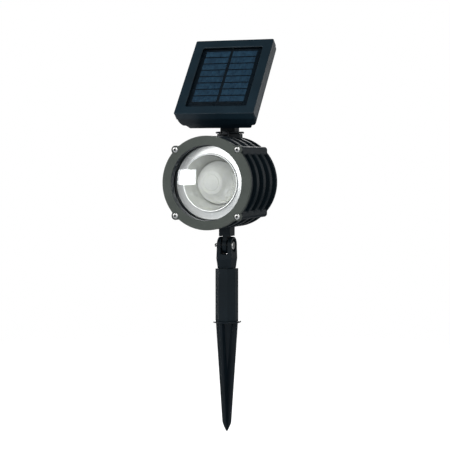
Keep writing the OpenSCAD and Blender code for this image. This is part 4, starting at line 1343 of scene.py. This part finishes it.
def make_fork():
    """Fork of the knuckle: two ears on a body that tapers to the neck in the post."""
    # outline in Y-Z
    yz = [(-7.6, 56.3), (7.6, 56.3), (8.6, 63), (9, 66)] + [(9, PZ)] + arc(0, PZ, 9, 0, 180, 40)[1:-1] + [(-9, PZ), (-9, 66), (-8.6, 63)]
    a = prism("knuckle_fork_part", fillet(yz, [0, 0, 3, 3] + [0] * 41 + [3, 3], 3), -9, 9, "black_plastic")
    move(a, YZ)
    xz = [(-7.4, 56.25), (7.4, 56.25), (7.8, 61), (8.4, 67), (8, 77.1), (8, 90.1), (-8, 90.1), (-8, 77.1), (-8.4, 67), (-7.8, 61)]
    b = prism("b", fillet(xz, [0, 0, 4, 4, 4, 0, 0, 4, 4, 4], 4), -10, 10, "black_plastic")
    move(b, XZ)
    boolean(a, b, "INTERSECT")
    slot = prism("s", [(-3.75, -15), (3.75, -15), (3.75, 15), (-3.75, 15)], 71.0, 110)
    boolean(a, slot)
    a = bevel(a, 0.65, 3, 30)
    # plug with its eight guide ribs
    boolean(a, lathe("p", fillet([(0, 36.3), (8.1, 36.3), (8.1, 57.2), (0, 57.2)], [0, 0.5, 0, 0], 3, closed=False), "Z", (0, 0, 0), 64, "black_plastic", closed=False), "UNION")
    for i in range(8):
        r = prism("r", [(5, -0.9), (8.85, -0.9), (8.85, 0.9), (5, 0.9)], 36.31, 57.5, "black_plastic")
        r.data.transform(Matrix.Rotation(math.radians(45 * i + 22.5), 4, "Z"))
        boolean(a, r, "UNION")
    boolean(a, lathe("b", [(0, -20), (2.05, -20), (2.05, 20), (0, 20)], "X", (0, 0, PZ), 36, closed=False))
    boolean(a, lathe("b", [(0, 5.6), (6.5, 5.6), (6.5, 7.6), (6.8, 8.1), (6.8, 20), (0, 20)], "X", (0, 0, PZ), 56, closed=False))
    R = 7.3 / 2 / math.cos(math.pi / 6)
    hx = lathe("h", [(0, -20), (R, -20), (R, -5.8), (0, -5.8)], "X", (0, 0, PZ), 6, closed=False)
    boolean(a, hx)
    shade(a, 34)
    weighted(a)
    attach(a, "stake")
    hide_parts("knuckle_fork")
    return a


def make_washers():
    parts = []
    for s in (-1, 1):
        lo, hi = (2.37, 3.73) if s > 0 else (-3.73, -2.37)
        parts.append(lathe("w", fillet([(2.05, lo), (5.5, lo), (5.5, hi), (2.05, hi)], 0.25, 3), "X", (0, 0, PZ), 56, "steel"))
    put(join(parts, "friction_washer_pair"), "stake", ["friction_washers"], angle=40)


# ================================================================ supply lead, one flexible tube from the swivel into the panel
def make_lead():
    neck = [(0, 8.5, 182.6), (0, 8.5, 190), (0, 8.5, 199), (0, 8.4, 205), (0, 7.4, 209.5), (0, 5.4, 212.8)]
    pan = [(0, -18.2, -29), (0, -17.9, -27.8), (0, -17.9, -26.4), (0, -17.9, -21), (0, -17.9, -20), (-2.5, -18.3, -17.8), (-8, -19.4, -15.5),
           (-14, -20.4, -13.6), (-18.6, -21.6, -12.4), (-20.5, -24, -12.2), (-20.5, -26, -12.2), (-20.5, -27.95, -12.2)]
    pts = [Vector(p) for p in neck] + [Vector((0, 3.7, 216.6))] + [PANEL @ Vector(p) for p in pan]
    path = []
    for i in range(len(pts) - 1):
        a, b, c, d = pts[max(i - 1, 0)], pts[i], pts[i + 1], pts[min(i + 2, len(pts) - 1)]
        for k in range(6):
            t = k / 6
            path.append(0.5 * (2 * b + (c - a) * t + (2 * a - 5 * b + 4 * c - d) * t * t + (3 * b - a - 3 * c + d) * t ** 3))
    path.append(pts[-1])
    loops = []
    ref = Vector((1, 0, 0))
    u = None
    for i, p in enumerate(path):
        t = (path[min(i + 1, len(path) - 1)] - path[max(i - 1, 0)]).normalized()
        u = ref if u is None else u
        u = (u - t * u.dot(t)).normalized()
        v = t.cross(u)
        loops.append([tuple(p + 1.4 * (math.cos(2 * math.pi * k / 16) * u + math.sin(2 * math.pi * k / 16) * v)) for k in range(16)])
    o = loft("supply_lead", loops, "lead_sheath")
    shade(o, 60)
    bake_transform(o)
    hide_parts("neck_lead", "panel_lead")


# ================================================================ build everything
make_bezel()
make_housing()
make_lens()
make_reflector()
make_optic()
make_bezel_screws()
make_lock_screw()
make_panel_bezel()
make_window()
make_solar()
make_rear_shell()
make_battery_door()
make_panel_screws()
make_button()
make_grommet()
make_yoke()
make_bolt("tilt_bolt_part", "tilt_bolt", "panel",
          -16.8, 12.3, 15.4, 2.5, 4.5, SWY, TZ, (3.0, 1.8))
make_nut("tilt_nut_part", "tilt_nut", "panel", -16.2, -12.3, 8.0, 2.52, SWY, TZ)
make_bolt("pivot_bolt_part", "pivot_bolt", "stake", -13.0, 5.6, 7.8, 2.0, 4.25, 0.0, PZ, (3.0, 1.5))
make_nut("pivot_nut_part", "pivot_nut", "stake", -9.0, -5.8, 7.0, 2.02, 0.0, PZ)
make_washers()
make_post()
make_spike()
make_fork()
make_lead()

# inner pieces keep the CAD's shape and get their own finish
FINISH = {
    "lens_gasket": "rubber_black", "led_board": "led_board_white", "led_emitter": "phosphor", "heat_spreader": "aluminium",
    "spreader_screws": "steel", "head_lead": "lead_sheath", "swivel_retainer": "steel", "swivel_oring": "rubber_black",
    "cell_ribbons": "ribbon_tin", "panel_gasket": "rubber_black", "door_seal": "rubber_black", "battery_cells": "battery_sleeve",
    "battery_tray": "tray_plastic", "battery_springs": "steel", "battery_contacts": "contact_nickel", "charge_board": "board_green",
    "board_components": "component_black", "switch_body": "component_black", "switch_boot": "rubber_black",
}
for name, mat in FINISH.items():
    ob = NODES[name]
    if not ob.material_slots:
        ob.data.materials.append(MATS[mat])
    for ms in ob.material_slots:
        ms.link = "OBJECT"
        ms.material = MATS[mat]


# ================================================================ stage, light and camera
def stage_floor():
    """Pale disc that fades out into the white backdrop."""
    bm = bmesh.new()
    n = 64
    rings = [0.0, 0.2, 0.5, 0.9, 1.25]
    prev = None
    z = -0.1143
    for r in rings:
        if r == 0:
            cur = [bm.verts.new((0, 0, z))]
        else:
            cur = [bm.verts.new((r * math.cos(2 * math.pi * i / n), r * math.sin(2 * math.pi * i / n), z)) for i in range(n)]
        if prev is not None:
            for i in range(n):
                q = (i + 1) % n
                if len(prev) == 1:
                    bm.faces.new((prev[0], cur[i], cur[q]))
                else:
                    bm.faces.new((prev[i], cur[i], cur[q], prev[q]))
        prev = cur
    me = bpy.data.meshes.new("studio_floor")
    bm.to_mesh(me)
    bm.free()
    m = Mat("floor_pale")
    m.color(m.ramp(m.noise(3, 2, 0.4), [(0.3, (0.64, 0.65, 0.66)), (0.7, (0.66, 0.67, 0.68))]))
    m.rough(m.range(m.noise(40, 2), 0.75, 0.85))
    m.set(Specular_IOR_Level=0.0)
    # the sweep reads as white to the camera, and stays a mid tone to the object
    em = m.n.new("ShaderNodeEmission")
    em.inputs["Color"].default_value = (1, 1, 1, 1)
    lpf = m.n.new("ShaderNodeLightPath")
    m.l.new(m.math("MULTIPLY", lpf.outputs["Is Camera Ray"], 0.80), em.inputs["Strength"])
    add = m.n.new("ShaderNodeAddShader")
    m.l.new(m.b.outputs[0], add.inputs[0])
    m.l.new(em.outputs[0], add.inputs[1])
    sepf = m.n.new("ShaderNodeSeparateXYZ")
    m.l.new(m.tc.outputs["Object"], sepf.inputs["Vector"])
    rad = m.math("SQRT", m.math("ADD", m.math("POWER", sepf.outputs["X"], 2.0), m.math("POWER", sepf.outputs["Y"], 2.0)))
    fade = m.range(rad, 0.0, 1.0, 0.10, 0.75)
    tr = m.n.new("ShaderNodeBsdfTransparent")
    mix = m.n.new("ShaderNodeMixShader")
    m.l.new(fade, mix.inputs["Fac"])
    m.l.new(add.outputs[0], mix.inputs[1])
    m.l.new(tr.outputs[0], mix.inputs[2])
    m.l.new(mix.outputs[0], m.out.inputs["Surface"])
    me.materials.append(m.m)
    o = link("studio_floor", me)
    return o


stage_floor()


def area(name, loc, look, size, power, color=(1, 1, 1), size_y=None):
    d = bpy.data.lights.new(name, "AREA")
    d.energy = power
    d.color = color
    d.shape = "RECTANGLE"
    d.size = size
    d.size_y = size_y or size
    o = bpy.data.objects.new(name, d)
    o.location = loc
    o.rotation_euler = (Vector(look) - Vector(loc)).to_track_quat("-Z", "Y").to_euler()
    bpy.context.scene.collection.objects.link(o)
    return o


area("key_left", (-1.2, -1.25, 1.05), (0, 0, 0.12), 0.9, 8.8, size_y=1.0)
area("fill_right", (1.3, -1.3, 0.9), (0, 0, 0.15), 0.5, 1.2, size_y=1.0)
area("rim_back", (1.15, 1.3, 0.35), (0, 0, 0.15), 0.35, 3.0, size_y=1.1)
area("back_soft", (-0.6, 1.5, 0.8), (0, 0, 0.15), 1.0, 7.0)
area("back_low", (-0.9, 1.3, 0.15), (0, 0, 0.12), 0.9, 16.0)
area("top_soft", (0.75, -0.5, 1.5), (0, 0, 0.1), 0.6, 6.0)


def only_on(light, names):
    """Light that falls on the named pieces alone."""
    c = bpy.data.collections.new(light.name + "_on")
    for n in names:
        c.objects.link(bpy.data.objects[n])
    light.light_linking.receiver_collection = c


# soft front fill that the studio aims into the lamp's mouth
mouth = area("mouth_fill", (-0.15, -1.5, 0.64), (0, -0.04, 0.1455), 2.5, 21.0, size_y=1.25)
only_on(mouth, ["reflector_cup"])
glow = area("optic_fill", (-0.5, -1.5, 0.45), (0, -0.04, 0.1455), 0.5, 7.0, size_y=0.5)
only_on(glow, ["led_optic_part"])
# glancing strip along the panel's far side, and a bounce from the floor under it
edge = area("panel_edge", (0.75, 1.0, 0.3), (0, 0.02, 0.24), 0.25, 2.4, size_y=0.7)
only_on(edge, ["panel_bezel_frame", "rear_shell_moulding"])
line = area("panel_line", (-0.54, -1.44, 0.0), (0, -0.04, 0.21), 0.3, 9.0, size_y=0.12)
only_on(line, ["panel_bezel_frame"])
bounce = area("panel_bounce", (-0.32, 0.15, -0.1), (0, 0, 0.24), 0.25, 0.35)
bounce.visible_camera = False
only_on(bounce, ["panel_bezel_frame", "rear_shell_moulding"])
# small card whose image shows as a window in the lamp's flat cover
card = area("window_card", (-0.597, -1.4371, 0.1274), (-0.024, -0.051, 0.1511), 0.038, 0.062, size_y=0.0325)
only_on(card, ["front_lens_pane"])

w = bpy.data.worlds.new("studio")
bpy.context.scene.world = w
w.use_nodes = True
nt = w.node_tree
nt.nodes.clear()
wo = nt.nodes.new("ShaderNodeOutputWorld")
bgc = nt.nodes.new("ShaderNodeBackground")
bgc.inputs["Color"].default_value = (1, 1, 1, 1)
bgc.inputs["Strength"].default_value = 1.0
bgl = nt.nodes.new("ShaderNodeBackground")
tcw = nt.nodes.new("ShaderNodeTexCoord")
sep = nt.nodes.new("ShaderNodeSeparateXYZ")
nt.links.new(tcw.outputs["Generated"], sep.inputs["Vector"])
rz = nt.nodes.new("ShaderNodeValToRGB")
for e_, (p_, c_) in zip((rz.color_ramp.elements[0], rz.color_ramp.elements[1]), ((0.0, (0.20, 0.22, 0.24, 1)), (1.0, (0.04, 0.05, 0.06, 1)))):
    e_.position, e_.color = p_, c_
for p_, c_ in ((0.30, (0.22, 0.25, 0.28, 1)), (0.455, (0.34, 0.37, 0.40, 1)), (0.475, (0.95, 0.95, 0.94, 1)), (0.78, (0.95, 0.95, 0.94, 1)), (0.88, (0.12, 0.14, 0.16, 1))):
    x_ = rz.color_ramp.elements.new(p_)
    x_.color = c_
# the room falls off behind the object
my = nt.nodes.new("ShaderNodeMapRange")
my.inputs["From Min"].default_value = -0.1
my.inputs["From Max"].default_value = 0.5
my.inputs["To Min"].default_value = 0.9
my.inputs["To Max"].default_value = 0.12
nt.links.new(sep.outputs["Y"], my.inputs["Value"])
mr = nt.nodes.new("ShaderNodeMapRange")
mr.inputs["From Min"].default_value = -1
mr.inputs["From Max"].default_value = 1
nt.links.new(sep.outputs["Z"], mr.inputs["Value"])
nt.links.new(mr.outputs["Result"], rz.inputs["Fac"])
nt.links.new(rz.outputs["Color"], bgl.inputs["Color"])
nt.links.new(my.outputs["Result"], bgl.inputs["Strength"])
lp = nt.nodes.new("ShaderNodeLightPath")
mx = nt.nodes.new("ShaderNodeMixShader")
nt.links.new(lp.outputs["Is Camera Ray"], mx.inputs["Fac"])
nt.links.new(bgl.outputs[0], mx.inputs[1])
nt.links.new(bgc.outputs[0], mx.inputs[2])
nt.links.new(mx.outputs[0], wo.inputs["Surface"])

cam_d = bpy.data.cameras.new("camera")
cam_d.lens = 106.28
cam_d.sensor_width = 36.0
cam_d.clip_start = 0.05
cam_d.clip_end = 60
cam = bpy.data.objects.new("camera", cam_d)
cam.location = (0.48567, -1.28389, 0.1722)
cam.rotation_euler = (Vector((-0.00203, 0, 0.1010)) - cam.location).to_track_quat("-Z", "Y").to_euler()
bpy.context.scene.collection.objects.link(cam)
bpy.context.scene.camera = cam
bpy.context.scene.view_settings.view_transform = "Standard"
bpy.context.scene.view_settings.look = "None"
